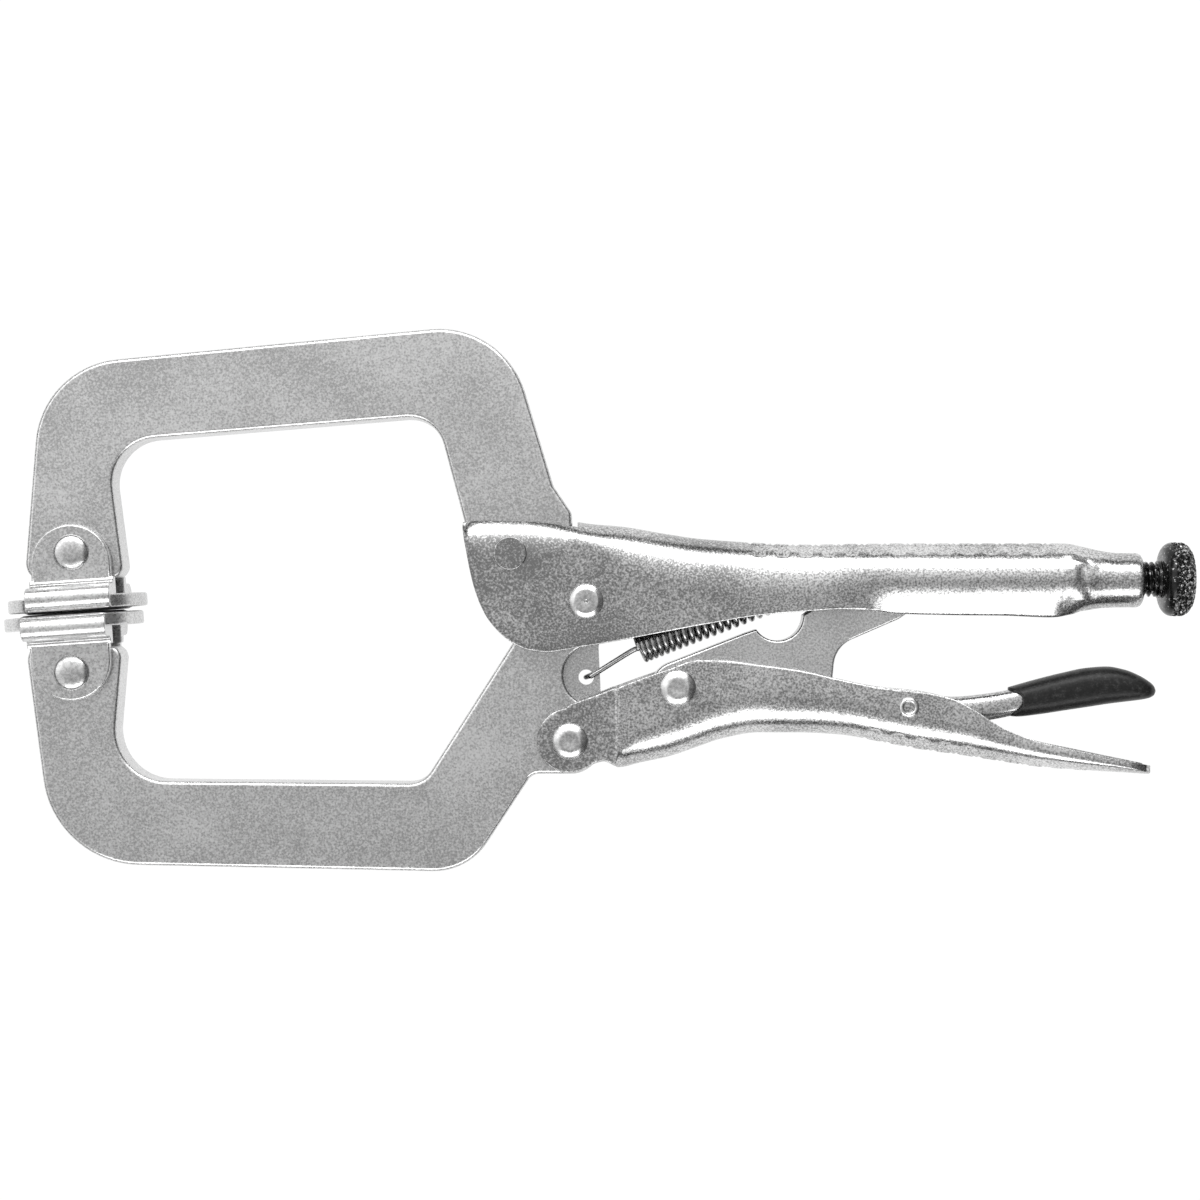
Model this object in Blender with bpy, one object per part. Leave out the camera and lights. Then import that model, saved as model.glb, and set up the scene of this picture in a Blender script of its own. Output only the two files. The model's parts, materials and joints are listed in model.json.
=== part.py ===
"""Locking C-clamp pliers with swivel pads, closed and locked, lying on one side.

Every outline is drawn in millimetres in the plane of the tool, from the jaw pivot: x runs from the
jaws towards the adjusting screw, y from the moving jaw towards the fixed one, and z is measured
from the middle plane of the tool. An empty carries that drawing frame to its place above the
ground, and one empty stands on each joint's axis, with the pieces that move about it.
"""

import math

import bmesh
import bpy
from mathutils import Vector

MM = 0.001

# Driving sizes of the whole tool.
JAW_HALF = 5.0  # half the thickness of both jaw arms
FIT = 0.3  # gap between neighbouring pieces
SHEET = 2.5  # handle sheet metal
INNER_HALF = JAW_HALF + FIT  # half the clear width between a handle's cheeks
CHEEK_HALF = INNER_HALF + SHEET  # outer face of the cheeks
SLOT_HALF = INNER_HALF + 0.08  # the jaw slots bite a little into the cheeks
LINK_HALF = 4.0
LEVER_HALF = 3.2
SLEEVE_HALF = 4.8
JAW_EDGE = 0.9  # rounding of the jaw arms' edges

# Joint axes in the drawing frame.
JAW_PIVOT = (0.0, 0.0)
HANDLE_PIVOT = (-3.8, -32.6)
LINK_PIVOT = (21.3, -20.2)
LEVER_PIVOT = (75.0, -24.7)
UPPER_PAD_PIVOT = (-119.7, 11.3)
LOWER_PAD_PIVOT = (-119.6, -16.6)
JAW_RIVET = (-17.7, 11.1)

# Swivel pad, measured from its own pivot, with its clamping face downwards.
PAD_REACH = 13.4  # pivot to clamping face
PAD_DISC_R = 16.1
PAD_DISC_H = 3.1
PAD_DISC_CUT = 13.0  # the disc's two sides are flat at this distance from the middle plane
PAD_FOLD_H = 5.6  # height of the folded edge above the clamping face
PAD_FOLD_HALF_W = 9.8
PAD_HALF_DEPTH = 14.5  # middle plane to the folded edge's outer wall
EAR_R = 9.3
EAR_DROP = 2.75  # ear's arc centre below the pivot
PAD_TILT = math.radians(4.0)

# Adjusting screw.
SCREW_Y = 4.7
THREAD_R = 4.0
SCREW_TIP_X = 87.4
KNOB_X = (135.8, 141.6)
KNOB_R = 8.6

# Return spring.
WIRE_R = 0.6
COIL_R = 3.2  # to the middle of the wire
COIL_TURNS = 15
COIL_START = (12.4, -11.1)
COIL_END = (46.0, 1.8)
HOOK_HOLE = (0.0, -17.9)
ANCHOR_HOLE = (53.4, 4.6)
TAB_HALF = 1.2

# The drawing frame's place: the outer box is centred on the origin and stands on z = 0.
BOX_CENTRE = (2.53, 0.19)

BODIES = {
    "fixed_handle": JAW_PIVOT,
    "moving_jaw": JAW_PIVOT,
    "moving_handle": HANDLE_PIVOT,
    "link": LINK_PIVOT,
    "release_lever": LEVER_PIVOT,
    "adjusting_screw": (SCREW_TIP_X, SCREW_Y),
    "upper_pad": UPPER_PAD_PIVOT,
    "lower_pad": LOWER_PAD_PIVOT,
}


# ---------------------------------------------------------------- drawing helpers


def arc(centre, radius, start, end, steps=8):
    """Sharp outline corners along an arc, with its angles in degrees."""
    angles = [math.radians(start + (end - start) * i / steps) for i in range(steps + 1)]
    x, y = centre
    return [(x + radius * math.cos(a), y + radius * math.sin(a), 0.0) for a in angles]


def rounded(corners, step=14.0):
    """The closed outline through corners (x, y, radius), with an arc in place of each corner.

    Where two arcs would meet on a side that is too short for both, both get smaller.
    """
    spots = [Vector(corner[:2]) for corner in corners]
    count = len(spots)
    halves, reaches = [], []
    for i, here in enumerate(spots):
        half = (spots[i - 1] - here).angle(spots[(i + 1) % count] - here) / 2
        halves.append(half)
        reaches.append(corners[i][2] / math.tan(half))
    fitting = list(reaches)
    for i in range(count):
        j = (i + 1) % count
        side, wanted = (spots[j] - spots[i]).length, reaches[i] + reaches[j]
        if wanted > 0.999 * side:
            share = 0.999 * side / wanted
            fitting[i] = min(fitting[i], reaches[i] * share)
            fitting[j] = min(fitting[j], reaches[j] * share)
    points = []
    for i, here in enumerate(spots):
        if fitting[i] == 0.0:
            points.append(here)
            continue
        back = (spots[i - 1] - here).normalized()
        ahead = (spots[(i + 1) % count] - here).normalized()
        radius = fitting[i] * math.tan(halves[i])
        centre = here + (back + ahead).normalized() * radius / math.sin(halves[i])
        first, last = here + back * fitting[i] - centre, here + ahead * fitting[i] - centre
        begin = math.atan2(first.y, first.x)
        turn = math.atan2(last.y, last.x) - begin
        turn = (turn + math.pi) % (2 * math.pi) - math.pi
        steps = max(1, math.ceil(abs(math.degrees(turn)) / step))
        for k in range(steps + 1):
            angle = begin + turn * k / steps
            points.append(centre + Vector((math.cos(angle), math.sin(angle))) * radius)
    return points


def prism(outline, low, high, edge=0.0, segments=2):
    """A plate between two heights, with its two rims rounded by edge."""
    bm = bmesh.new()
    outline = [p for i, p in enumerate(outline) if (p - outline[i - 1]).length > 0.05]
    area = sum(a.x * b.y - b.x * a.y for a, b in zip(outline, outline[1:] + outline[:1]))
    if area < 0:
        outline = outline[::-1]
    rims = [[bm.verts.new((p.x, p.y, z)) for p in outline] for z in (low, high)]
    bottom, top = rims
    faces = [bm.faces.new(bottom[::-1]), bm.faces.new(top)]
    for i in range(len(outline)):
        j = (i + 1) % len(outline)
        bm.faces.new((bottom[i], bottom[j], top[j], top[i]))
    if edge:
        rim_edges = [e for face in faces for e in face.edges]
        bmesh.ops.bevel(
            bm, geom=rim_edges, offset=edge, segments=segments, profile=0.5, affect="EDGES"
        )
    return bm


def turned(profile, segments=20):
    """A solid of revolution about z from (radius, height) points, upwards, with flat ends."""
    bm = bmesh.new()
    rings = []
    for radius, height in profile:
        angles = [2 * math.pi * i / segments for i in range(segments)]
        rings.append(
            [bm.verts.new((radius * math.cos(a), radius * math.sin(a), height)) for a in angles]
        )
    for low, high in zip(rings, rings[1:]):
        for i in range(segments):
            j = (i + 1) % segments
            bm.faces.new((low[i], low[j], high[j], high[i]))
    bm.faces.new(rings[0][::-1])
    bm.faces.new(rings[-1])
    return bm


def about_x(bm, x, y):
    """Turns a solid made about z so that it lies along x, starting at x, y."""
    for vert in bm.verts:
        vert.co = Vector((x + vert.co.z, y + vert.co.x, vert.co.y))
    return bm


def moved(bm, x, y):
    for vert in bm.verts:
        vert.co += Vector((x, y, 0))
    return bm


# ---------------------------------------------------------------- objects

for old in list(bpy.data.objects):
    bpy.data.objects.remove(old, do_unlink=True)


def empty(name, parent=None, location=(0, 0, 0)):
    node = bpy.data.objects.new(name, None)
    node.empty_display_size = 5 * MM
    node.location = location
    node.parent = parent
    bpy.context.scene.collection.objects.link(node)
    return node


tool = empty("tool", None, (-BOX_CENTRE[0] * MM, -BOX_CENTRE[1] * MM, PAD_HALF_DEPTH * MM))
axes = {
    body: empty(body + "_axis", tool, (x * MM, y * MM, 0)) for body, (x, y) in BODIES.items()
}


def metal(name, colour, roughness, metallic=1.0):
    material = bpy.data.materials.new(name)
    material.use_nodes = True
    shader = material.node_tree.nodes["Principled BSDF"]
    shader.inputs["Base Color"].default_value = (*colour, 1)
    shader.inputs["Roughness"].default_value = roughness
    shader.inputs["Metallic"].default_value = metallic
    return material


JAW_STEEL = metal("satin_plated_steel", (0.50, 0.50, 0.50), 0.42)
HANDLE_STEEL = metal("bright_plated_steel", (0.66, 0.66, 0.66), 0.22)
RIVET_STEEL = metal("polished_rivet_steel", (0.72, 0.72, 0.72), 0.18)
BLACK_STEEL = metal("black_oxide_steel", (0.035, 0.035, 0.037), 0.45)
SPRING_STEEL = metal("spring_wire", (0.30, 0.30, 0.30), 0.30)
VINYL = metal("black_vinyl", (0.012, 0.012, 0.013), 0.38, 0.0)


def place(name, bm, body, material, sharp=35):
    """Turns a mesh drawn in the drawing frame into an object whose origin is its body's axis."""
    x, y = BODIES[body]
    for vert in bm.verts:
        vert.co = (vert.co - Vector((x, y, 0))) * MM
    bmesh.ops.recalc_face_normals(bm, faces=bm.faces)
    mesh = bpy.data.meshes.new(name)
    bm.to_mesh(mesh)
    bm.free()
    mesh.shade_smooth()
    mesh.set_sharp_from_angle(angle=math.radians(sharp))
    mesh.materials.append(material)
    node = bpy.data.objects.new(name, mesh)
    node.parent = axes[body]
    bpy.context.scene.collection.objects.link(node)
    return node


def combine(node, operation, name, bm, body):
    """Adds a Boolean whose other shape stays in the scene as a wire helper."""
    helper = place(name, bm, body, JAW_STEEL)
    helper.hide_render = True
    helper.display_type = "WIRE"
    modifier = node.modifiers.new(name, "BOOLEAN")
    modifier.operation = operation
    modifier.object = helper
    return node


def drill(node, body, centre, radius, depth=20.0):
    """A round hole right through, along z."""
    x, y = centre
    bm = moved(turned([(radius, -depth), (radius, depth)]), x, y)
    return combine(node, "DIFFERENCE", f"{node.name}_hole_{x:.0f}_{y:.0f}", bm, body)


# ---------------------------------------------------------------- jaws


def fixed_jaw():
    """The upper arm: a bent flat bar whose root sits between the fixed handle's cheeks."""
    lobe_gap = arc(JAW_PIVOT, 10.4, 148, 106, 5)
    outline = [
        (-130.5, 5.4, 4.0),
        (-127.3, 54.8, 21.0),
        (-19.2, 65.2, 21.0),
        (-7.6, 26.8, 3.0),
        (-3.4, 20.6, 2.0),
        (-2.9, 10.2, 0.0),
        *lobe_gap[::-1],
        (-16.4, -6.4, 1.0),
        (-19.2, -6.0, 2.0),
        (-26.0, 9.4, 8.0),
        (-35.1, 43.4, 8.5),
        (-111.9, 37.1, 10.5),
        (-107.8, 5.8, 3.0),
        (-119.7, 3.5, 12.0),
    ]
    bm = prism(rounded(outline), -JAW_HALF, JAW_HALF, JAW_EDGE)
    node = place("fixed_jaw", bm, "fixed_handle", JAW_STEEL)
    drill(node, "fixed_handle", UPPER_PAD_PIVOT, 2.8)
    return drill(node, "fixed_handle", JAW_RIVET, 3.7)


def moving_jaw():
    """The lower arm, with its pivot lobe, the handle's pivot and the thin spring tab."""
    lobe = 9.2
    outline = [
        (-131.0, -10.6, 4.0),
        (-124.3, -61.3, 23.0),
        (-27.6, -63.35, 15.0),
        (-12.6, -40.4, 3.0),
        (4.0, -40.4, 7.4),
        (3.3, -19.0, 30.0),
        (2.8, -9.0, 3.0),
        (lobe, -6.5, 3.0),
        (lobe, lobe, lobe - 0.01),
        (-5.0, lobe, lobe - 0.01),
        (-38.1, -42.6, 6.0),
        (-110.8, -41.9, 12.0),
        (-108.2, -11.0, 3.0),
        (-119.6, -8.6, 12.0),
    ]
    bm = prism(rounded(outline), -JAW_HALF, JAW_HALF, JAW_EDGE)
    node = place("moving_jaw", bm, "moving_jaw", JAW_STEEL)
    drill(node, "moving_jaw", JAW_PIVOT, 3.3)
    drill(node, "moving_jaw", HANDLE_PIVOT, 3.3)
    drill(node, "moving_jaw", LOWER_PAD_PIVOT, 2.8)
    for side in (-1, 1):
        heights = sorted((side * TAB_HALF, side * 8.0))
        recess = moved(turned([(7.0, heights[0]), (7.0, heights[1])], 32), 1.7, -17.3)
        combine(node, "DIFFERENCE", f"tab_recess_{side}", recess, "moving_jaw")
    return drill(node, "moving_jaw", HOOK_HOLE, 1.7)


# ---------------------------------------------------------------- sheet metal handles


def half_section(back, lip, half, corner, curl, slot, wall_steps=3, arc_steps=6):
    """(z, y) from the free edge to the middle of the web, for a channel that curls to a tube."""
    up = 1 if back > lip else -1
    height = abs(back - lip)
    corner = min(max(corner, 0.6), height - 0.3)
    start = -math.acos(min(slot / half, 0.97))
    points = []
    for i in range(wall_steps + arc_steps + 1):
        if i < wall_steps:
            open_z, open_y = half, lip + up * (height - corner) * i / wall_steps
        else:
            a = math.pi / 2 * (i - wall_steps) / arc_steps
            open_z = half * math.cos(a) ** 0.8
            open_y = back - up * corner * (1 - math.sin(a) ** 0.8)
        a = start + (math.pi / 2 - start) * i / (wall_steps + arc_steps)
        round_z = half * math.cos(a)
        round_y = (back + lip) / 2 + up * height / 2 * math.sin(a)
        points.append(
            (open_z + curl * (round_z - open_z), open_y + curl * (round_y - open_y))
        )
    return points


def channel(stations):
    """A folded channel through stations along x.

    A station is (x, web y, free edge y, half width, wall, corner radius, curl, slot half width).
    """
    bm = bmesh.new()
    rings = []
    for x, back, lip, half, wall, corner, curl, slot in stations:
        up = 1 if back > lip else -1
        curl = min(max(curl, 0.0), 1.0)
        outer = half_section(back, lip, half, corner, curl, slot)
        lip_in = lip + up * wall * curl
        inner = half_section(back - up * wall, lip_in, half - wall, corner - wall / 2, curl, slot)
        loop = outer + [(-z, y) for z, y in outer[-2::-1]]
        loop += [(-z, y) for z, y in inner] + inner[-2::-1]
        rings.append([bm.verts.new((x, y, z)) for z, y in loop])
    count = len(rings[0])
    for first, second in zip(rings, rings[1:]):
        for i in range(count):
            j = (i + 1) % count
            bm.faces.new((first[i], first[j], second[j], second[i]))
    bm.faces.new(rings[0][::-1])
    bm.faces.new(rings[-1])
    return bm


def fixed_handle():
    """The upper handle: flat cheeks round the jaws, a channel, then a closed tube for the screw."""
    cheek = (CHEEK_HALF, SHEET, 2.0, 0.0, INNER_HALF)
    stations = [
        (-28.7, 19.0, 16.6, *cheek),
        (-28.2, 19.1, 13.3, *cheek),
        (-27.4, 19.1, 8.6, *cheek),
        (-26.4, 19.1, 3.9, *cheek),
        (-25.0, 19.1, 0.0, *cheek),
        (-23.1, 19.1, -3.8, *cheek),
        (-20.5, 19.0, -7.0, *cheek),
        (-17.4, 19.0, -9.6, *cheek),
        (-13.6, 18.9, -11.3, *cheek),
        (-9.0, 18.7, -11.9, *cheek),
        (-2.4, 18.3, -10.9, CHEEK_HALF, SHEET, 2.6, 0.0, INNER_HALF),
        (8.4, 17.5, -9.1, CHEEK_HALF, SHEET, 3.4, 0.0, INNER_HALF),
        (18.0, 15.9, -7.3, CHEEK_HALF, SHEET, 4.0, 0.0, INNER_HALF),
        (27.0, 14.6, -5.6, CHEEK_HALF, SHEET, 4.4, 0.0, INNER_HALF),
        (40.6, 13.7, -3.3, CHEEK_HALF + 0.2, SHEET, 4.8, 0.0, INNER_HALF),
        (52.0, 13.2, -2.3, CHEEK_HALF + 0.4, SHEET, 5.0, 0.0, INNER_HALF),
        (63.6, 13.2, -1.8, CHEEK_HALF + 0.6, SHEET, 5.2, 0.0, INNER_HALF),
        (68.0, 13.3, -2.1, CHEEK_HALF + 0.7, SHEET, 5.4, 0.2, INNER_HALF),
        (75.0, 13.4, -3.4, CHEEK_HALF + 0.8, SHEET, 5.6, 0.8, 5.3),
        (86.0, 13.4, -3.5, CHEEK_HALF + 0.8, SHEET, 5.6, 1.0, 4.8),
        (98.0, 13.4, -3.6, CHEEK_HALF + 0.8, SHEET, 5.6, 1.0, 4.0),
        (108.5, 13.4, -4.0, CHEEK_HALF + 0.7, SHEET, 5.6, 1.0, 3.0),
        (113.0, 13.3, -3.6, CHEEK_HALF + 0.3, 2.4, 5.6, 1.0, 2.2),
        (117.0, 12.6, -2.4, 7.3, 2.3, 5.6, 1.0, 1.2),
        (121.0, 11.6, -1.8, 6.6, 2.2, 5.6, 1.0, 0.6),
        (125.0, 11.1, -1.7, 6.4, 2.1, 5.6, 1.0, 0.4),
        (129.3, 11.1, -1.7, 6.4, 2.1, 5.6, 1.0, 0.4),
        (130.4, 10.4, -1.0, 5.7, 1.4, 5.0, 1.0, 0.4),
    ]
    bm = channel(stations)
    node = place("fixed_handle", bm, "fixed_handle", HANDLE_STEEL, 30)
    slot = rounded([(-40, -20, 0), (-2.0, -20, 0), (-2.0, 30, 0), (-40, 30, 0)])
    combine(node, "DIFFERENCE", "jaw_slot", prism(slot, -SLOT_HALF, SLOT_HALF), "fixed_handle")
    tab = rounded([(50.6, 12.2, 0), (50.6, 1.8, 1.6), (56.2, 1.8, 1.6), (56.2, 12.2, 0)])
    combine(node, "UNION", "spring_anchor", prism(tab, -TAB_HALF, TAB_HALF), "fixed_handle")
    drill(node, "fixed_handle", JAW_PIVOT, 3.3)
    drill(node, "fixed_handle", JAW_RIVET, 3.7)
    return drill(node, "fixed_handle", ANCHOR_HOLE, 1.6, 3.0)


def moving_handle():
    """The lower handle: two round ears on the moving jaw, a channel, and a flat spoon tip."""
    bx, by = HANDLE_PIVOT
    ear = 7.7
    flat = (CHEEK_HALF, SHEET, 0.8, 0.0, INNER_HALF)
    stations = []
    for angle in (166, 150, 134, 118):
        dx, dy = ear * math.cos(math.radians(angle)), ear * math.sin(math.radians(angle))
        stations.append((bx + dx, by - dy, by + dy, *flat))
    stations += [
        (bx, by - ear, -24.1, *flat),
        (-0.2, -39.4, -22.8, *flat),
        (2.0, -38.1, -22.0, *flat),
        (4.2, -37.6, -21.2, *flat),
        (6.2, -38.4, -20.4, *flat),
        (7.4, -39.1, -20.0, CHEEK_HALF, SHEET, 4.6, 0.0, INNER_HALF),
        (12.6, -38.0, -18.1, CHEEK_HALF, SHEET, 4.8, 0.0, INNER_HALF),
        (19.5, -36.5, -15.7, CHEEK_HALF, SHEET, 5.0, 0.0, INNER_HALF),
        (26.0, -34.3, -13.7, CHEEK_HALF, SHEET, 5.0, 0.0, INNER_HALF),
        (32.0, -32.3, -13.8, CHEEK_HALF, SHEET, 5.0, 0.0, INNER_HALF),
        (40.5, -30.9, -14.9, CHEEK_HALF, SHEET, 5.0, 0.0, INNER_HALF),
        (49.4, -30.9, -16.1, CHEEK_HALF, SHEET, 5.0, 0.0, INNER_HALF),
        (59.5, -31.4, -18.4, CHEEK_HALF, SHEET, 5.0, 0.0, INNER_HALF),
        (69.0, -33.1, -20.3, CHEEK_HALF, SHEET, 5.0, 0.0, INNER_HALF),
        (78.6, -34.9, -21.3, CHEEK_HALF + 0.2, SHEET, 5.0, 0.0, INNER_HALF),
        (85.0, -35.8, -22.7, CHEEK_HALF + 0.4, SHEET, 5.0, 0.0, INNER_HALF),
        (90.6, -36.6, -25.6, CHEEK_HALF + 0.6, 2.4, 5.0, 0.0, INNER_HALF),
        (96.9, -37.6, -29.6, CHEEK_HALF + 0.8, 2.3, 4.8, 0.0, INNER_HALF),
        (106.0, -38.9, -33.0, CHEEK_HALF + 0.9, 2.2, 4.2, 0.0, INNER_HALF),
        (116.1, -39.7, -35.2, CHEEK_HALF + 0.9, 2.1, 3.2, 0.0, INNER_HALF),
        (125.7, -40.2, -37.2, CHEEK_HALF + 0.5, 2.0, 1.8, 0.0, INNER_HALF),
        (130.2, -40.5, -38.1, CHEEK_HALF - 0.8, 1.9, 1.0, 0.0, INNER_HALF),
        (131.6, -40.6, -38.4, CHEEK_HALF - 2.6, 1.8, 0.8, 0.0, INNER_HALF),
    ]
    bm = channel(stations)
    node = place("moving_handle", bm, "moving_handle", HANDLE_STEEL, 30)
    slot = rounded([(-20, -50, 0), (7.0, -50, 0), (7.0, -10, 0), (-20, -10, 0)])
    bm = prism(slot, -SLOT_HALF, SLOT_HALF)
    combine(node, "DIFFERENCE", "ear_slot", bm, "moving_handle")
    drill(node, "moving_handle", HANDLE_PIVOT, 3.3)
    drill(node, "moving_handle", LINK_PIVOT, 3.3)
    return drill(node, "moving_handle", LEVER_PIVOT, 1.9)


# ---------------------------------------------------------------- toggle link and release lever


def link():
    """The toggle bar from the moving handle to the screw's tip, with its round relief notch."""
    cx, cy = LINK_PIVOT
    notch = arc((44.8, -3.3), 6.0, 214, 360, 9)
    outline = [
        *arc((cx, cy), 6.0, 256, 112, 8),
        (37.0, -7.6, 0.0),
        *notch,
        (52.6, -2.0, 1.0),
        (74.0, 7.6, 3.0),
        *arc((79.8, 4.6), 3.6, 88, -80, 7),
        (73.4, -4.1, 8.0),
        (58.4, -10.6, 7.0),
        (57.4, -20.6, 2.0),
    ]
    bm = prism(rounded(outline), -LINK_HALF, LINK_HALF, 0.5, 1)
    return drill(place("link", bm, "link", JAW_STEEL), "link", LINK_PIVOT, 3.3)


LEVER_TAIL = [
    (111.6, -18.6, 12.0),
    (121.0, -16.9, 8.0),
    (130.2, -19.4, 1.6),
    (129.2, -21.6, 1.2),
    (106.2, -25.3, 20.0),
]


def release_lever():
    """The stamped lever: nose under the link, pivot boss, shank and the tail inside its sleeve."""
    outline = [
        (56.6, -24.9, 0.8),
        (64.0, -23.0, 6.0),
        (71.5, -20.8, 4.0),
        (86.3, -22.6, 18.0),
        (99.0, -20.9, 20.0),
        *LEVER_TAIL,
        (100.3, -26.9, 8.0),
        (92.0, -28.6, 12.0),
        (74.0, -29.2, 6.0),
        (66.0, -27.8, 10.0),
        (56.6, -27.6, 1.0),
    ]
    bm = prism(rounded(outline), -LEVER_HALF, LEVER_HALF, 0.7)
    node = place("release_lever", bm, "release_lever", HANDLE_STEEL, 40)
    return drill(node, "release_lever", LEVER_PIVOT, 1.9)


def lever_sleeve():
    """The dipped vinyl grip, a leaf shape with a blind pocket for the lever's tail."""
    leaf = [
        (99.2, -20.4, 0.6),
        (110.0, -17.1, 20.0),
        (121.4, -14.7, 14.0),
        (132.6, -18.2, 3.5),
        (133.4, -22.3, 2.2),
        (107.0, -26.5, 40.0),
        (100.7, -27.6, 0.6),
        (102.6, -23.8, 5.0),
    ]
    bm = prism(rounded(leaf), -SLEEVE_HALF, SLEEVE_HALF, 0.5)
    node = place("lever_sleeve", bm, "release_lever", VINYL, 50)
    grow = FIT + 0.05
    pocket = [(90.0, -21.8, 0.0), (99.0, -20.55, 0.0)]
    pocket += [(x + grow, y + grow, r) for x, y, r in LEVER_TAIL[:3]]
    pocket += [(x + grow, y - grow, r) for x, y, r in LEVER_TAIL[3:]]
    pocket += [(100.3, -27.25, 0.0), (90.0, -29.3, 0.0)]
    half = LEVER_HALF + FIT
    bm = prism(rounded(pocket), -half, half)
    return combine(node, "DIFFERENCE", "sleeve_pocket", bm, "release_lever")


# ---------------------------------------------------------------- pads


def swivel_pad(name, body, up):
    """A pressed pad: round disc, its two sides folded back over it and bent up into ears.

    up is 1 where the ears point to +y from the clamping face and -1 where they point to -y.
    """
    px, py = BODIES[body]
    face = -PAD_REACH
    tilt_cos, tilt_sin = math.cos(PAD_TILT), math.sin(PAD_TILT)

    def settle(bm):
        """From the pad's own frame (x across, y up from the face, z depth) to the drawing frame."""
        for vert in bm.verts:
            x, y, z = vert.co
            y *= up
            turned_x, turned_y = x * tilt_cos - y * tilt_sin, x * tilt_sin + y * tilt_cos
            vert.co = Vector((px + turned_x, py + turned_y, z))
        return bm

    disc = turned([(PAD_DISC_R - 0.6, 0), (PAD_DISC_R, 0.7), (PAD_DISC_R, PAD_DISC_H)], 44)
    for vert in disc.verts:
        depth = min(max(-vert.co.y, -PAD_DISC_CUT), PAD_DISC_CUT)
        vert.co = Vector((vert.co.x, face + vert.co.z, depth))
    node = place(name, settle(disc), body, JAW_STEEL)

    ear_front = [
        (-PAD_FOLD_HALF_W, face - 1, 0.0),
        (PAD_FOLD_HALF_W, face - 1, 0.0),
        (PAD_FOLD_HALF_W, face + PAD_FOLD_H, 0.6),
        (EAR_R, face + PAD_FOLD_H + 0.6, 0.0),
        *arc((0, -EAR_DROP), EAR_R, 0, 180, 14),
        (-EAR_R, face + PAD_FOLD_H + 0.6, 0.0),
        (-PAD_FOLD_HALF_W, face + PAD_FOLD_H, 0.6),
    ]
    for side in (-1, 1):
        section = rounded(
            [
                (side * INNER_HALF, face + 0.2, 0.0),
                (side * PAD_HALF_DEPTH, face + 0.2, 1.3),
                (side * PAD_HALF_DEPTH, face + PAD_FOLD_H, 1.3),
                (side * CHEEK_HALF, face + PAD_FOLD_H, 0.9),
                (side * CHEEK_HALF, EAR_R, 0.0),
                (side * INNER_HALF, EAR_R, 0.0),
            ],
            22.0,
        )
        bracket = prism(section, -PAD_FOLD_HALF_W - 1, PAD_FOLD_HALF_W + 1)
        for vert in bracket.verts:
            vert.co = Vector((vert.co.z, vert.co.y, vert.co.x))
        bracket_name = f"{name}_bracket_{side}"
        combine(node, "UNION", bracket_name, settle(bracket), body)
        trim = settle(prism(rounded(ear_front), -20, 20))
        combine(bpy.data.objects[bracket_name], "INTERSECT", f"{name}_ear_{side}", trim, body)
    return drill(node, body, BODIES[body], 2.8)


# ---------------------------------------------------------------- rivets, screw and spring


def rivet(name, body, centre, shank, head, proud, crown):
    """A two-headed rivet through the cheeks. crown is the radius of its flat top."""
    seat = CHEEK_HALF + FIT
    top = seat + proud
    half_profile = [
        (shank, seat),
        (head, seat),
        (head, seat + 0.35 * proud),
        ((head * 2 + crown) / 3, seat + 0.75 * proud),
        (crown, top),
    ]
    profile = [(r, -z) for r, z in half_profile[::-1]] + half_profile
    bm = moved(turned(profile), *centre)
    return place(name, bm, body, RIVET_STEEL, 50)


def jaw_rivet():
    """The flush plug that fixes the jaw's root between the cheeks."""
    top = CHEEK_HALF + 0.1
    profile = [(3.1, -top), (3.4, -top + 0.4), (3.4, top - 0.4), (3.1, top)]
    return place("jaw_rivet", moved(turned(profile), *JAW_RIVET), "fixed_handle", HANDLE_STEEL)


def adjusting_screw():
    """The screw with its knurled head. The knurl is a ring of rounded flutes."""
    tip, head = 0.0, KNOB_X[0] - SCREW_TIP_X
    end = KNOB_X[1] - SCREW_TIP_X
    profile = [
        (2.6, tip),
        (THREAD_R - 0.3, tip + 1.4),
        (THREAD_R, tip + 2.2),
        (THREAD_R, head - 1.2),
        (THREAD_R + 0.9, head),
        (KNOB_R - 0.9, head),
        (KNOB_R, head + 0.9),
        (KNOB_R, end - 1.2),
        (KNOB_R - 1.2, end),
    ]
    bm = turned(profile, 48)
    for vert in bm.verts:
        x, y, z = vert.co
        radius = math.hypot(x, y)
        if radius > KNOB_R - 0.2 and round(math.atan2(y, x) / (math.pi / 24)) % 2:
            vert.co = Vector((x * (1 - 0.35 / radius), y * (1 - 0.35 / radius), z))
    return place(
        "adjusting_screw", about_x(bm, SCREW_TIP_X, SCREW_Y), "adjusting_screw", BLACK_STEEL
    )


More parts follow.
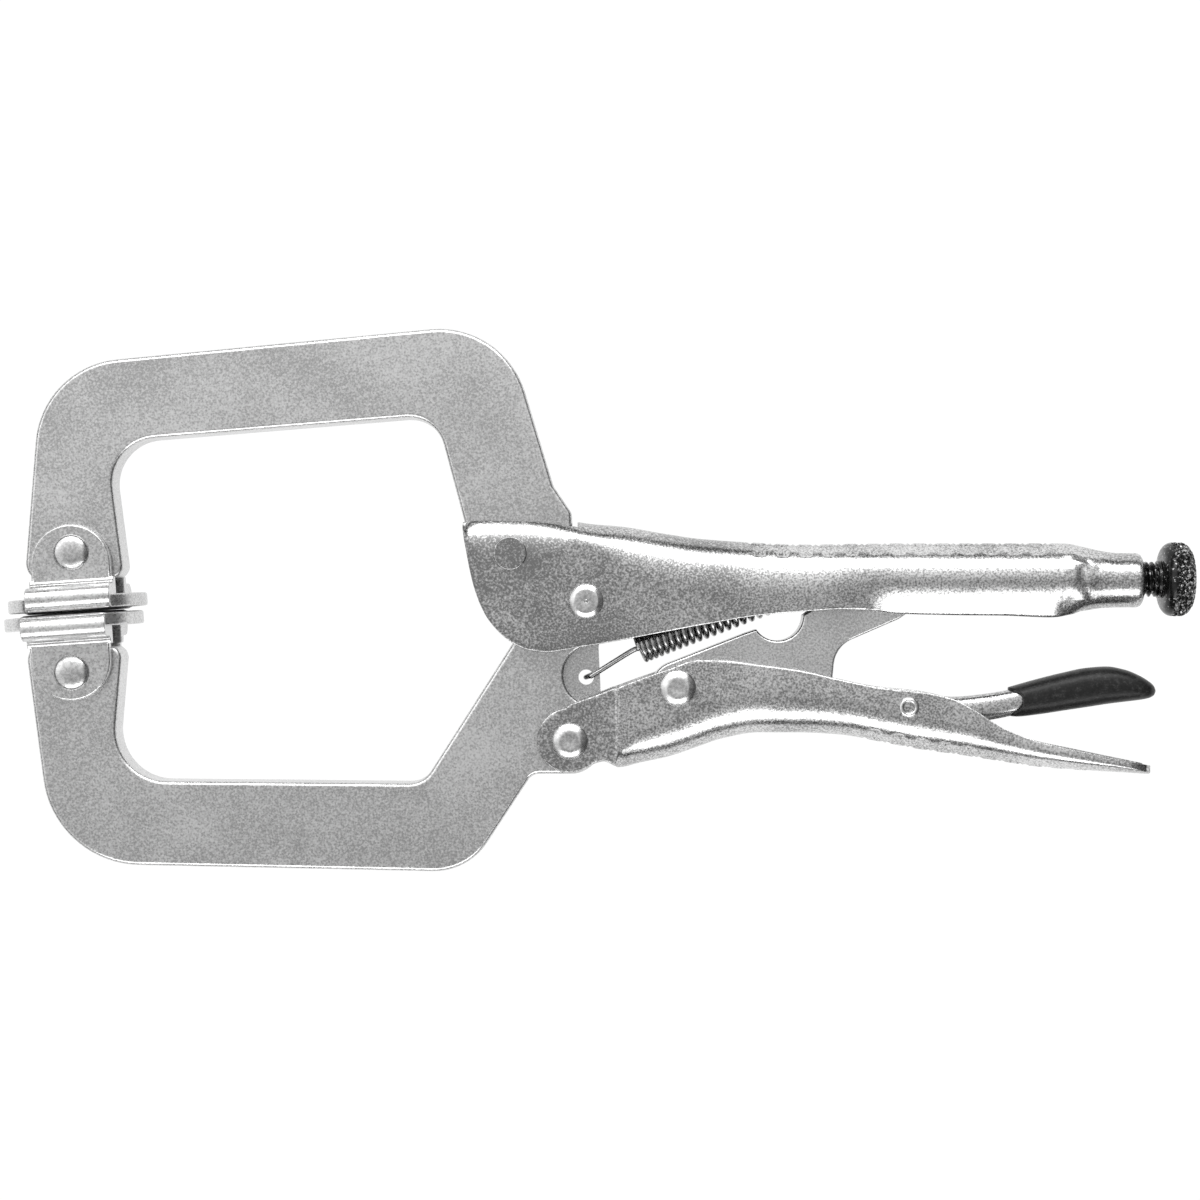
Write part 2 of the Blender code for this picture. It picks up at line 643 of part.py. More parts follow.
def spring():
    """The return spring: a close helix with a hook through the jaw's tab and one on the handle."""
    start, end = Vector((*COIL_START, 0)), Vector((*COIL_END, 0))
    along = (end - start).normalized()
    side = Vector((-along.y, along.x, 0))
    up = Vector((0, 0, 1))
    over = TAB_HALF + WIRE_R + FIT
    hook, anchor = Vector((*HOOK_HOLE, 0)), Vector((*ANCHOR_HOLE, 0))
    path = [
        hook + along * 1.9 - up * (over + 0.3),
        hook + along * 0.7 - up * over,
        hook - up * 0.8,
        hook + up * 0.8,
        hook + along * 0.7 + up * over,
        hook + along * 2.2 + up * (over + 0.5),
        start - along * 1.6 + up * (COIL_R - 0.6),
    ]
    per_turn = 8
    for i in range(COIL_TURNS * per_turn + 1):
        angle = 2 * math.pi * i / per_turn
        centre = start.lerp(end, i / (COIL_TURNS * per_turn))
        path.append(centre + (up * math.cos(angle) + side * math.sin(angle)) * COIL_R)
    path += [
        end + along * 1.6 + up * (COIL_R - 0.5),
        anchor - along * 1.0 + up * over,
        anchor + up * 0.8,
        anchor - up * 0.8,
        anchor - along * 1.0 - up * over,
    ]
    curve = bpy.data.curves.new("spring", "CURVE")
    curve.dimensions = "3D"
    curve.bevel_depth = WIRE_R * MM
    curve.bevel_resolution = 1
    curve.use_fill_caps = True
    spline = curve.splines.new("POLY")
    spline.points.add(len(path) - 1)
    for point, place_in in zip(spline.points, path):
        point.co = (*(place_in * MM), 1)
    curve.materials.append(SPRING_STEEL)
    node = bpy.data.objects.new("spring", curve)
    node.parent = axes["fixed_handle"]
    bpy.context.scene.collection.objects.link(node)
    return node


fixed_handle()
fixed_jaw()
moving_jaw()
moving_handle()
link()
release_lever()
lever_sleeve()
swivel_pad("upper_pad", "upper_pad", 1)
swivel_pad("lower_pad", "lower_pad", -1)
adjusting_screw()
spring()
jaw_rivet()
rivet("jaw_pivot_rivet", "fixed_handle", JAW_PIVOT, 3.0, 4.2, 1.9, 2.6)
rivet("handle_pivot_rivet", "moving_handle", HANDLE_PIVOT, 3.0, 4.3, 1.9, 2.2)
rivet("link_rivet", "moving_handle", LINK_PIVOT, 3.0, 4.3, 1.9, 2.2)
rivet("lever_rivet", "moving_handle", LEVER_PIVOT, 1.6, 2.4, 0.8, 1.6)
rivet("upper_pad_rivet", "upper_pad", UPPER_PAD_PIVOT, 2.5, 4.2, 2.2, 1.2)
rivet("lower_pad_rivet", "lower_pad", LOWER_PAD_PIVOT, 2.5, 4.2, 2.2, 1.2)
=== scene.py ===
"""Looks of the locking C-clamp pliers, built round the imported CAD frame.

Shapes are drawn in millimetres in the plane of the tool, from the jaw pivot, as in the CAD: x runs
towards the adjusting screw, y towards the fixed jaw, and z up, out of the side that faces the viewer.
"""

import json
import math

import bmesh
import bpy
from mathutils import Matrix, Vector, noise


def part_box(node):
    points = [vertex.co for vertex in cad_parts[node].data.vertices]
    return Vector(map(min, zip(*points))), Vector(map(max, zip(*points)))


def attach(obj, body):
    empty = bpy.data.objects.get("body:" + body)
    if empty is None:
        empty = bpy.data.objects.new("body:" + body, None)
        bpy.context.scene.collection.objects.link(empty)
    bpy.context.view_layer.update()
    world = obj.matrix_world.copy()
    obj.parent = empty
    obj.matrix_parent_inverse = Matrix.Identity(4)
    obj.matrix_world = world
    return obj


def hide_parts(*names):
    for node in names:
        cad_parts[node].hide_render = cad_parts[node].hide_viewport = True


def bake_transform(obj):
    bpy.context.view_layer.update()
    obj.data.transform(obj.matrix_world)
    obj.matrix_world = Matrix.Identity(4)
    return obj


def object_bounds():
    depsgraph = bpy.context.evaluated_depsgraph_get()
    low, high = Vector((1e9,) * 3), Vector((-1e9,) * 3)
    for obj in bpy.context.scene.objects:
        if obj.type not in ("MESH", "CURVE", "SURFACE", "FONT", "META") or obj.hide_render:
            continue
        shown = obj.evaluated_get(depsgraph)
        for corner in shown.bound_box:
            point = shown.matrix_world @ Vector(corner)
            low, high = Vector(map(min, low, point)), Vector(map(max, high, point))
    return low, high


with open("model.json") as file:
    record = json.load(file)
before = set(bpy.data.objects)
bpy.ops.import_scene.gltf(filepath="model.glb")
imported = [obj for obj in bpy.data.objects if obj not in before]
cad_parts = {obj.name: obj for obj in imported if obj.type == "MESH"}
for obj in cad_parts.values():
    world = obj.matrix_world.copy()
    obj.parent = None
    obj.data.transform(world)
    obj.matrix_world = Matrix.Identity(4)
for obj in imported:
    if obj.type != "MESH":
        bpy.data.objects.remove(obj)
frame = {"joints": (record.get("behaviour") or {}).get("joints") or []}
cad_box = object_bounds()

MM = 0.001
PIVOTS = {j["name"]: Vector(j["pos_m"]) for j in frame["joints"] if j["type"] == "hinge"}
ORIGIN = PIVOTS["jaw_pivot"]


def spot(joint):
    """Where a joint's axis crosses the plane of the tool."""
    offset = (PIVOTS[joint] - ORIGIN) / MM
    return offset.x, offset.y


def half_depth(node):
    """Half of a CAD node's thickness through the tool."""
    low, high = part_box(node)
    return (high.z - low.z) / 2 / MM


FIT = 0.3
SHEET = 2.5
SHARP_ANGLE = 38
JAW_HALF = half_depth("fixed_jaw")
INNER_HALF = JAW_HALF + FIT
CHEEK_HALF = INNER_HALF + SHEET
LINK_HALF = half_depth("link")
HANDLE_PIVOT = spot("handle_pivot")
LINK_PIVOT = spot("link_pivot")
LEVER_PIVOT = spot("release_pivot")
PAD_PIVOTS = {"upper_pad": spot("upper_pad_swivel"), "lower_pad": spot("lower_pad_swivel")}
JAW_RIVET = (-17.7, 11.1)


# ---------------------------------------------------------------- drawing helpers

SHORTEST_SIDE = 0.04
MERGE_DISTANCE = 0.002


def arc(centre, radius, start, end, steps=8):
    """Sharp outline corners along an arc, with its angles in degrees."""
    angles = [math.radians(start + (end - start) * i / steps) for i in range(steps + 1)]
    x, y = centre
    return [(x + radius * math.cos(a), y + radius * math.sin(a), 0.0) for a in angles]


def rounded(corners, step=5.0):
    """The closed outline through corners (x, y, radius), with an arc in place of each corner.

    Where two arcs would meet on a side that is too short for both, both get smaller.
    """
    spots = [Vector(corner[:2]) for corner in corners]
    count = len(spots)
    halves, reaches = [], []
    for i, here in enumerate(spots):
        half = (spots[i - 1] - here).angle(spots[(i + 1) % count] - here) / 2
        halves.append(half)
        reaches.append(corners[i][2] / math.tan(half))
    fitting = list(reaches)
    for i in range(count):
        j = (i + 1) % count
        side, wanted = (spots[j] - spots[i]).length, reaches[i] + reaches[j]
        if wanted > 0.999 * side:
            share = 0.999 * side / wanted
            fitting[i] = min(fitting[i], reaches[i] * share)
            fitting[j] = min(fitting[j], reaches[j] * share)
    points = []
    for i, here in enumerate(spots):
        if fitting[i] == 0.0:
            points.append(here)
            continue
        back = (spots[i - 1] - here).normalized()
        ahead = (spots[(i + 1) % count] - here).normalized()
        radius = fitting[i] * math.tan(halves[i])
        centre = here + (back + ahead).normalized() * radius / math.sin(halves[i])
        first, last = here + back * fitting[i] - centre, here + ahead * fitting[i] - centre
        begin = math.atan2(first.y, first.x)
        turn = math.atan2(last.y, last.x) - begin
        turn = (turn + math.pi) % (2 * math.pi) - math.pi
        steps = max(1, math.ceil(abs(math.degrees(turn)) / step))
        for k in range(steps + 1):
            angle = begin + turn * k / steps
            points.append(centre + Vector((math.cos(angle), math.sin(angle))) * radius)
    return points


def inset(outline, distance):
    """An outline, counterclockwise, moved inwards by distance."""
    result = []
    for i, here in enumerate(outline):
        back = (here - outline[i - 1]).normalized()
        ahead = (outline[(i + 1) % len(outline)] - here).normalized()
        first, second = Vector((-back.y, back.x)), Vector((-ahead.y, ahead.x))
        result.append(here + (first + second) * distance / max(0.4, 1 + first.dot(second)))
    return result


def prism(outline, low, high, edge=0.0, segments=6):
    """A plate between two heights, with its two rims rounded by edge."""
    outline = [p for i, p in enumerate(outline) if (p - outline[i - 1]).length > SHORTEST_SIDE]
    area = sum(a.x * b.y - b.x * a.y for a, b in zip(outline, outline[1:] + outline[:1]))
    if area < 0:
        outline = outline[::-1]
    levels = [(0.0, 0.0)]
    if edge:
        turns = [math.pi / 2 * k / segments for k in range(segments + 1)]
        levels = [(edge * (1 - math.sin(a)), edge * (1 - math.cos(a))) for a in turns]
    rings = []
    for rise, back in levels[::-1]:
        rings.append([(p.x, p.y, low + rise) for p in inset(outline, back)])
    for rise, back in levels:
        rings.append([(p.x, p.y, high - rise) for p in inset(outline, back)])
    bm = skin(rings)
    bmesh.ops.remove_doubles(bm, verts=bm.verts, dist=MERGE_DISTANCE)
    return bm


def skin(rings, closed=True):
    """A surface through rings with the same number of points, with flat ends if it is closed."""
    bm = bmesh.new()
    rows = [[bm.verts.new(p) for p in ring] for ring in rings]
    count = len(rows[0])
    for first, second in zip(rows, rows[1:]):
        for i in range(count):
            j = (i + 1) % count
            bm.faces.new((first[i], first[j], second[j], second[i]))
    if closed:
        bm.faces.new(rows[0][::-1])
        bm.faces.new(rows[-1])
    return bm


def turned(profile, segments=56, closed=True):
    """A shape of revolution about z from (radius, height) points, upwards."""
    angles = [2 * math.pi * i / segments for i in range(segments)]
    rings = []
    for radius, height in profile:
        rings.append([(radius * math.cos(a), radius * math.sin(a), height) for a in angles])
    return skin(rings, closed)


def moved(bm, x, y):
    """A shape shifted in the plane of the tool."""
    for vert in bm.verts:
        vert.co += Vector((x, y, 0))
    return bm


def softened(profile, radius=0.3, steps=3):
    """A turned profile with its inner corners rounded."""
    points = [Vector(p) for p in profile]
    result = [points[0]]
    for before, here, after in zip(points, points[1:], points[2:]):
        back, ahead = before - here, after - here
        reach = min(radius, back.length * 0.45, ahead.length * 0.45)
        start, end = here + back.normalized() * reach, here + ahead.normalized() * reach
        for k in range(steps + 1):
            t = k / steps
            result.append(start * (1 - t) ** 2 + here * 2 * t * (1 - t) + end * t**2)
    result.append(points[-1])
    return [(p.x, p.y) for p in result]


# ---------------------------------------------------------------- materials


class Finish:
    """A Principled material whose colour, roughness and bump come from noise in the tool's frame."""

    def __init__(self, name, metallic, **constants):
        self.material = bpy.data.materials.new(name)
        self.material.use_nodes = True
        self.tree = self.material.node_tree
        self.shader = self.tree.nodes["Principled BSDF"]
        self.shader.inputs["Metallic"].default_value = metallic
        for socket, value in constants.items():
            self.shader.inputs[socket.replace("_", " ")].default_value = value
        self.coordinates = self.tree.nodes.new("ShaderNodeTexCoord").outputs["Object"]

    def link(self, output, socket):
        """Joins two nodes."""
        self.tree.links.new(output, socket)

    def along(self):
        """The place along the tool, in metres."""
        split = self.tree.nodes.new("ShaderNodeSeparateXYZ")
        self.link(self.coordinates, split.inputs["Vector"])
        return split.outputs["X"]

    def noise(self, size, detail=2.0):
        """Noise whose grains are about size millimetres."""
        texture = self.tree.nodes.new("ShaderNodeTexNoise")
        texture.inputs["Scale"].default_value = 1 / (size * MM)
        texture.inputs["Detail"].default_value = detail
        self.link(self.coordinates, texture.inputs["Vector"])
        return texture.outputs["Fac"]

    def math(self, operation, first, second):
        """A sum or product of two values, each a number or another node's output."""
        node = self.tree.nodes.new("ShaderNodeMath")
        node.operation = operation
        for socket, value in zip(node.inputs, (first, second)):
            if isinstance(value, float):
                socket.default_value = value
            else:
                self.link(value, socket)
        return node.outputs[0]

    def blend(self, first, second, share):
        """A weighted sum of two noises, share of it from the second."""
        most = self.math("MULTIPLY", first, 1 - share)
        rest = self.math("MULTIPLY", second, share)
        return self.math("ADD", most, rest)

    def spread(self, value, low, high, start=0.35, end=0.65):
        """Takes a value's range from start to end over to low to high."""
        node = self.tree.nodes.new("ShaderNodeMapRange")
        node.inputs["From Min"].default_value = start
        node.inputs["From Max"].default_value = end
        node.inputs["To Min"].default_value = low
        node.inputs["To Max"].default_value = high
        self.link(value, node.inputs["Value"])
        return node.outputs["Result"]

    def colour(self, value, stops):
        """Colours the material by a value, through (position, colour) stops."""
        ramp = self.tree.nodes.new("ShaderNodeValToRGB")
        elements = ramp.color_ramp.elements
        while len(elements) < len(stops):
            elements.new(0.5)
        for element, (position, tone) in zip(elements, stops):
            element.position = position
            element.color = (*tone, 1)
        self.link(value, ramp.inputs["Fac"])
        self.link(ramp.outputs["Color"], self.shader.inputs["Base Color"])

    def roughness(self, value, low, high):
        """Lets a value move the roughness between low and high."""
        self.link(self.spread(value, low, high), self.shader.inputs["Roughness"])

    def bump(self, value, height):
        """Lets a value raise the surface by up to height millimetres."""
        node = self.tree.nodes.new("ShaderNodeBump")
        node.inputs["Strength"].default_value = 1.0
        node.inputs["Distance"].default_value = height * MM
        self.link(value, node.inputs["Height"])
        self.link(node.outputs["Normal"], self.shader.inputs["Normal"])


CLOUD_SIZE = 22.0
CLOUD_SHARE = 0.28
SHADED_PART = (-0.010, 0.045)
KNURL_WIDTH = 4.4
KNURL_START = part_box("adjusting_screw")[1].x - KNURL_WIDTH * MM
KNURL_FADE = 0.6 * MM


def grey(value):
    """A neutral colour."""
    return (value, value, value)


def plated_steel(name, tone, variation, roughness, grain, height, shade=0.0):
    """Plating over steel: fine bright and dark grains over a faint cloudiness.

    By shade, it gets darker through the jaw end of the tool, over the stretch of SHADED_PART.
    """
    finish = Finish(name, 1.0)
    fine = finish.noise(grain, 3.0)
    cloudy = finish.noise(CLOUD_SIZE)
    mottled = finish.blend(fine, cloudy, CLOUD_SHARE)
    shaded = finish.spread(finish.along(), -shade, 0.0, *SHADED_PART)
    stops = [(0.40, grey(tone - variation)), (0.50, grey(tone)), (0.60, grey(tone + variation))]
    finish.colour(finish.math("ADD", mottled, shaded), stops)
    finish.roughness(mottled, roughness * 0.85, roughness * 1.2)
    finish.bump(fine, height)
    return finish.material


def black_oxide():
    """Black oxide, with bright flecks painted into its colour where the head is knurled: painted
    glints.
    """
    finish = Finish("black_oxide_steel", 0.55, Specular_IOR_Level=0.6)
    fine = finish.noise(0.5, 3.0)
    # Painted highlight: this lifts the colour over the knurl into bright flecks that stand in for
    # glints.
    painted_glints = finish.spread(finish.along(), 0.0, 0.11, KNURL_START, KNURL_START + KNURL_FADE)
    stops = [(0.35, grey(0.003)), (0.64, grey(0.014)), (0.71, grey(0.34)), (0.85, grey(0.55))]
    finish.colour(finish.math("ADD", finish.noise(0.75, 1.0), painted_glints), stops)
    finish.roughness(fine, 0.14, 0.30)
    finish.bump(fine, 0.02)
    return finish.material


def spring_steel():
    """Drawn spring wire with a fine grain."""
    finish = Finish("spring_wire", 1.0)
    fine = finish.noise(0.35)
    finish.colour(fine, [(0.35, grey(0.30)), (0.65, grey(0.50))])
    finish.roughness(fine, 0.16, 0.28)
    finish.bump(fine, 0.008)
    return finish.material


def dipped_vinyl():
    """Black vinyl with the faint orange peel of a dipped coat and a little dust."""
    finish = Finish("black_vinyl", 0.0, IOR=1.4, Specular_IOR_Level=0.35)
    peel = finish.noise(1.1)
    dust = finish.noise(0.35)
    stops = [(0.35, grey(0.005)), (0.55, grey(0.012)), (0.7, grey(0.04))]
    finish.colour(finish.blend(peel, dust, 0.5), stops)
    finish.roughness(dust, 0.30, 0.46)
    finish.bump(finish.blend(peel, dust, 0.35), 0.05)
    return finish.material


MATERIALS = {
    "satin_plated_steel": plated_steel(
        "satin_plated_steel", tone=0.60, variation=0.13, roughness=0.29, grain=0.45, height=0.005
    ),
    "bright_plated_steel": plated_steel(
        "bright_plated_steel",
        tone=0.51,
        variation=0.24,
        roughness=0.25,
        grain=0.45,
        height=0.004,
        shade=0.045,
    ),
    "polished_rivet_steel": plated_steel(
        "polished_rivet_steel", tone=0.60, variation=0.10, roughness=0.26, grain=0.6, height=0.003
    ),
    "black_oxide_steel": black_oxide(),
    "spring_wire": spring_steel(),
    "black_vinyl": dipped_vinyl(),
}


# ---------------------------------------------------------------- objects

DRILL_REACH = 20.0


def solid(name, bm, sharp=SHARP_ANGLE):
    """A mesh object in the row frame from a shape in the drawing frame."""
    for vert in bm.verts:
        vert.co = ORIGIN + vert.co * MM
    bmesh.ops.recalc_face_normals(bm, faces=bm.faces)
    mesh = bpy.data.meshes.new(name)
    bm.to_mesh(mesh)
    bm.free()
    mesh.shade_smooth()
    mesh.set_sharp_from_angle(angle=math.radians(sharp))
    node = bpy.data.objects.new(name, mesh)
    bpy.context.scene.collection.objects.link(node)
    return node


def combine(node, operation, *shapes, sharp=SHARP_ANGLE):
    """Joins or cuts a piece with shapes at once, so that no helper object is left."""
    for bm in shapes:
        helper = solid("helper", bm)
        modifier = node.modifiers.new("combine", "BOOLEAN")
        modifier.operation = operation
        modifier.object = helper
        evaluated = node.evaluated_get(bpy.context.evaluated_depsgraph_get())
        mesh = bpy.data.meshes.new_from_object(evaluated)
        node.modifiers.clear()
        node.data = mesh
        bpy.data.objects.remove(helper)
    node.data.shade_smooth()
    node.data.set_sharp_from_angle(angle=math.radians(sharp))
    return node


def finished(node, body, slot, *replaced):
    """Gives a piece its material, the CAD nodes that it replaces, and its place in the frame."""
    node.data.materials.clear()
    node.data.materials.append(MATERIALS[slot])
    weighted = node.modifiers.new("flat_faces", "WEIGHTED_NORMAL")
    weighted.keep_sharp = True
    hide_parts(*replaced)
    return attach(node, body)


def bored(node, centre, radius):
    """Drills a round hole right through a piece, along z."""
    drill = turned([(radius, -DRILL_REACH), (radius, DRILL_REACH)])
    return combine(node, "DIFFERENCE", moved(drill, *centre))


# ---------------------------------------------------------------- jaws

JAW_EDGE = 1.0
LOBE = 9.2
LOBE_GAP = 10.4
TAB_CENTRE = (1.7, -17.3)
TAB_STEP = [(7.0, 1.2), (7.0, 4.4), (7.15, 4.75), (7.5, 4.95), (8.0, 5.05), (8.0, 8.0)]
HOOK_HOLE = (0.0, -17.9)
HOOK_HOLE_R = 1.8


def fixed_jaw():
    """The upper arm, hollowed round the moving jaw's lobe."""
    lobe_gap = arc((0, 0), LOBE_GAP, 148, 106, 12)
    outline = [
        (-131.2, 5.4, 4.0),
        (-127.3, 54.8, 21.0),
        (-19.2, 65.2, 21.0),
        (-7.6, 26.8, 3.0),
        (-3.4, 20.6, 2.0),
        (-2.9, 10.2, 0.0),
        *lobe_gap[::-1],
        (-16.4, -6.4, 1.0),
        (-19.2, -6.0, 2.0),
        (-26.0, 9.4, 8.0),
        (-35.1, 43.4, 8.5),
        (-111.9, 37.1, 10.5),
        (-107.8, 5.8, 3.0),
        (-119.7, 3.5, 12.0),
    ]
    node = solid("fixed_jaw_arm", prism(rounded(outline), -JAW_HALF, JAW_HALF, JAW_EDGE))
    return finished(node, "fixed_handle", "satin_plated_steel", "fixed_jaw")


def moving_jaw():
    """The lower arm, with a thin half-round tab that takes the spring's hook."""
    outline = [
        (-131.0, -10.6, 4.0),
        (-124.3, -61.3, 23.0),
        (-27.6, -63.35, 15.0),
        (-12.6, -40.4, 3.0),
        (4.0, -40.4, 7.4),
        (3.3, -19.0, 30.0),
        (2.8, -9.0, 3.0),
        (LOBE, -6.5, 3.0),
        (LOBE, LOBE, LOBE - 0.01),
        (-5.0, LOBE, LOBE - 0.01),
        (-38.1, -42.6, 6.0),
        (-110.8, -41.9, 12.0),
        (-108.2, -11.0, 3.0),
        (-119.6, -8.6, 12.0),
    ]
    node = solid("moving_jaw_arm", prism(rounded(outline), -JAW_HALF, JAW_HALF, JAW_EDGE))
    for profile in (TAB_STEP, [(r, -z) for r, z in TAB_STEP[::-1]]):
        combine(node, "DIFFERENCE", moved(turned(profile, 96), *TAB_CENTRE))
    bored(node, HOOK_HOLE, HOOK_HOLE_R)
    return finished(node, "moving_jaw", "satin_plated_steel", "moving_jaw")


# ---------------------------------------------------------------- sheet metal handles

WALL_STEPS = 12
WALL_BEND = 0.5
ROUND_GAP = 2.2
STRAIGHT_GAP = 4.2
MOST_CROWN = 0.9
LIP_ROUND = 0.4
LEAST_LIP_ROUND = 0.02
ARCH_STEPS = 60
RING_STEP = 1.0
LEAST_RING_STEP = 0.12
FINE_SHARE = 3
HANDLE_SHARP_ANGLE = 40
SLOT_HALF = INNER_HALF + 0.05
TAB_HALF = 1.2
HANDLE_EAR_R = 7.7
SCALE_PITCH = 5.4
SCALE_RADIUS = 3.5
SCALE_ROW = 5.6
SCALE_LINE = 0.7
SCALE_DEPTH = 0.5
CRIMP_X = 115.5
CRIMP_SPREAD = 4.2
CRIMP_DEPTH = 0.32


def at(stations, x):
    """The station at x, on a curve through the given ones that never overshoots them."""
    i = next((k for k in range(len(stations) - 1) if x <= stations[k + 1][0]), len(stations) - 2)
    a, b = stations[i], stations[i + 1]
    before, after = stations[max(i - 1, 0)], stations[min(i + 2, len(stations) - 1)]
    span = b[0] - a[0]
    t = (x - a[0]) / span

    def slope(left, here, right, k):
        if left is here or here is right:
            return (right[k] - left[k]) / (right[0] - left[0])
        first = (here[k] - left[k]) / (here[0] - left[0])
        second = (right[k] - here[k]) / (right[0] - here[0])
        return 0.0 if first * second <= 0 else 2 * first * second / (first + second)

    values = []
    for k in range(1, len(a)):
        m, n = slope(before, a, b, k) * span, slope(a, b, after, k) * span
        d = b[k] - a[k]
        values.append(a[k] + t * (m + t * (3 * d - 2 * m - n + t * (m + n - 2 * d))))
    return values


def half_section(back, lip, half, crown, gap, power):
    """(z, y) points from a channel's free edge, over its shoulder, to the middle of its web.

    The wall leans in from half to gap at the free edge, and crown is the height of the arch. The
    section closes to a circle as its gap goes from STRAIGHT_GAP down to ROUND_GAP.
    """
    up = math.copysign(1, back - lip)
    crown = min(crown, abs(back - lip) * MOST_CROWN)
    spring_line = back - up * crown
    drop = half - min(gap, half)
    lean = math.sqrt(max(0.0, 1 - (min(gap, half) / half) ** 2))
    closed = min(1.0, max(0.0, (STRAIGHT_GAP - gap) / (STRAIGHT_GAP - ROUND_GAP)))
    points = []
    for i in range(WALL_STEPS):
        t = 1 - i / WALL_STEPS
        bent = (math.hypot(t, WALL_BEND) - WALL_BEND) / (math.hypot(1, WALL_BEND) - WALL_BEND)
        circle = half * math.sqrt(max(0.0, 1 - (lean * t) ** 2))
        across = circle * closed + (half - drop * bent) * (1 - closed)
        points.append(Vector((across, spring_line + (lip - spring_line) * t)))
    for i in range(ARCH_STEPS + 1):
        a = math.pi / 2 * i / ARCH_STEPS
        across, along = abs(math.cos(a)) ** (2 / power), math.sin(a) ** (2 / power)
        points.append(Vector((half * across, spring_line + up * crown * along)))
    points[-1].x = 0.0
    return points


def outward(points, up):
    """Unit normals of a half section."""
    normals = []
    for i in range(len(points)):
        ahead = points[min(i + 1, len(points) - 1)] - points[max(i - 1, 0)]
        normals.append(Vector((ahead.y, -ahead.x)).normalized() * up)
    normals[-1] = Vector((0, up))
    return normals


def lip_round(edge, foot, edge_next, foot_next, radius):
    """Points round a sheet's free edge, from its inner skin to its outer one."""
    across = (edge - foot).normalized()
    near, far = (foot_next - foot).normalized(), (edge_next - edge).normalized()
    return [
        foot + near * radius,
        foot + (near + across) * 0.3 * radius,
        foot + across * radius,
        edge - across * radius,
        edge + (far - across) * 0.3 * radius,
        edge + far * radius,
    ]


def ring_places(stations, fine):
    """Where along x a channel gets its rings, closer together in the stretch called fine."""
    first, last = stations[0][0], stations[-1][0]
    places = {round(s[0], 3) for s in stations}
    x = first
    while x < last:
        places.add(round(x, 3))
        x += RING_STEP / FINE_SHARE if fine[0] < x < fine[1] else RING_STEP
    kept = []
    for x in sorted(places):
        if not kept or x - kept[-1] >= LEAST_RING_STEP or x == round(last, 3):
            kept.append(x)
    return kept


def distances(points):
    """How far each point of a half section lies round from the web's middle."""
    far = [0.0]
    for a, b in zip(points[::-1], points[-2::-1]):
        far.append(far[-1] + (a - b).length)
    return far[::-1]


def inner_section(back, lip, half, wall, crown, gap, power):
    """The half section of the inner skin, a wall's thickness inside the outer one."""
    up = math.copysign(1, back - lip)
    web = min(wall, 0.7 * abs(back - lip))
    inner_lip = lip + up * wall * (1 - min(1.0, gap / half))
    inner_crown = max(0.3, crown - 0.6 * wall)
    inner_gap = gap * (half - wall) / half
    return half_section(back - up * web, inner_lip, half - wall, inner_crown, inner_gap, power)[::3]


def folded(stations, fine, relief):
    """A folded sheet channel along x. relief(x, s) raises its skin, s round from the web's middle.

    Stations are (x, web y, free edge y, half width, wall, crown, gap, power).
    """
    rings = []
    for x in ring_places(stations, fine):
        back, lip, half, wall, crown, gap, power = at(stations, x)
        up = math.copysign(1, back - lip)
        outer = half_section(back, lip, half, crown, gap, power)
        inner = inner_section(back, lip, half, wall, crown, gap, power)
        raised = []
        for point, normal, s in zip(outer, outward(outer, up), distances(outer)):
            raised.append(point + normal * relief(x, s))
        room = min(0.6 * (raised[1] - raised[0]).length, 0.3 * (inner[1] - inner[0]).length)
        radius = max(min(LIP_ROUND, room), LEAST_LIP_ROUND)
        rim = lip_round(raised[0], inner[0], raised[1], inner[1], radius)
        half_loop = inner[:0:-1] + rim + raised[1:]
        loop = [(x, p.y, p.x) for p in half_loop]
        loop += [(x, p.y, -p.x) for p in half_loop[-2:0:-1]]
        rings.append(loop)
    return skin(rings)


def scales(x, s):
    """How strongly a line of the fish-scale grip pattern runs through a place, from 0 to 1."""
    strongest = 0.0
    for row in (-1, 0, 1):
        shift = SCALE_PITCH / 2 if row == 0 else 0.0
        across = (x - shift + SCALE_PITCH / 2) % SCALE_PITCH - SCALE_PITCH / 2
        for neighbour in (-SCALE_PITCH, 0.0, SCALE_PITCH):
            off = abs(math.hypot(across + neighbour, s - row * SCALE_ROW) - SCALE_RADIUS)
            strongest = max(strongest, 1 - off / SCALE_LINE)
    return strongest


def grip(start, end, reach):
    """A relief with the scale pattern pressed into the web between start and end."""

    def relief(x, s):
        ends = min(1.0, max(0.0, min(x - start, end - x) / 1.5))
        sides = min(1.0, max(0.0, (reach - s) / 0.8))
        return -SCALE_DEPTH * scales(x, s) * ends * sides if ends and sides else 0.0

    return relief


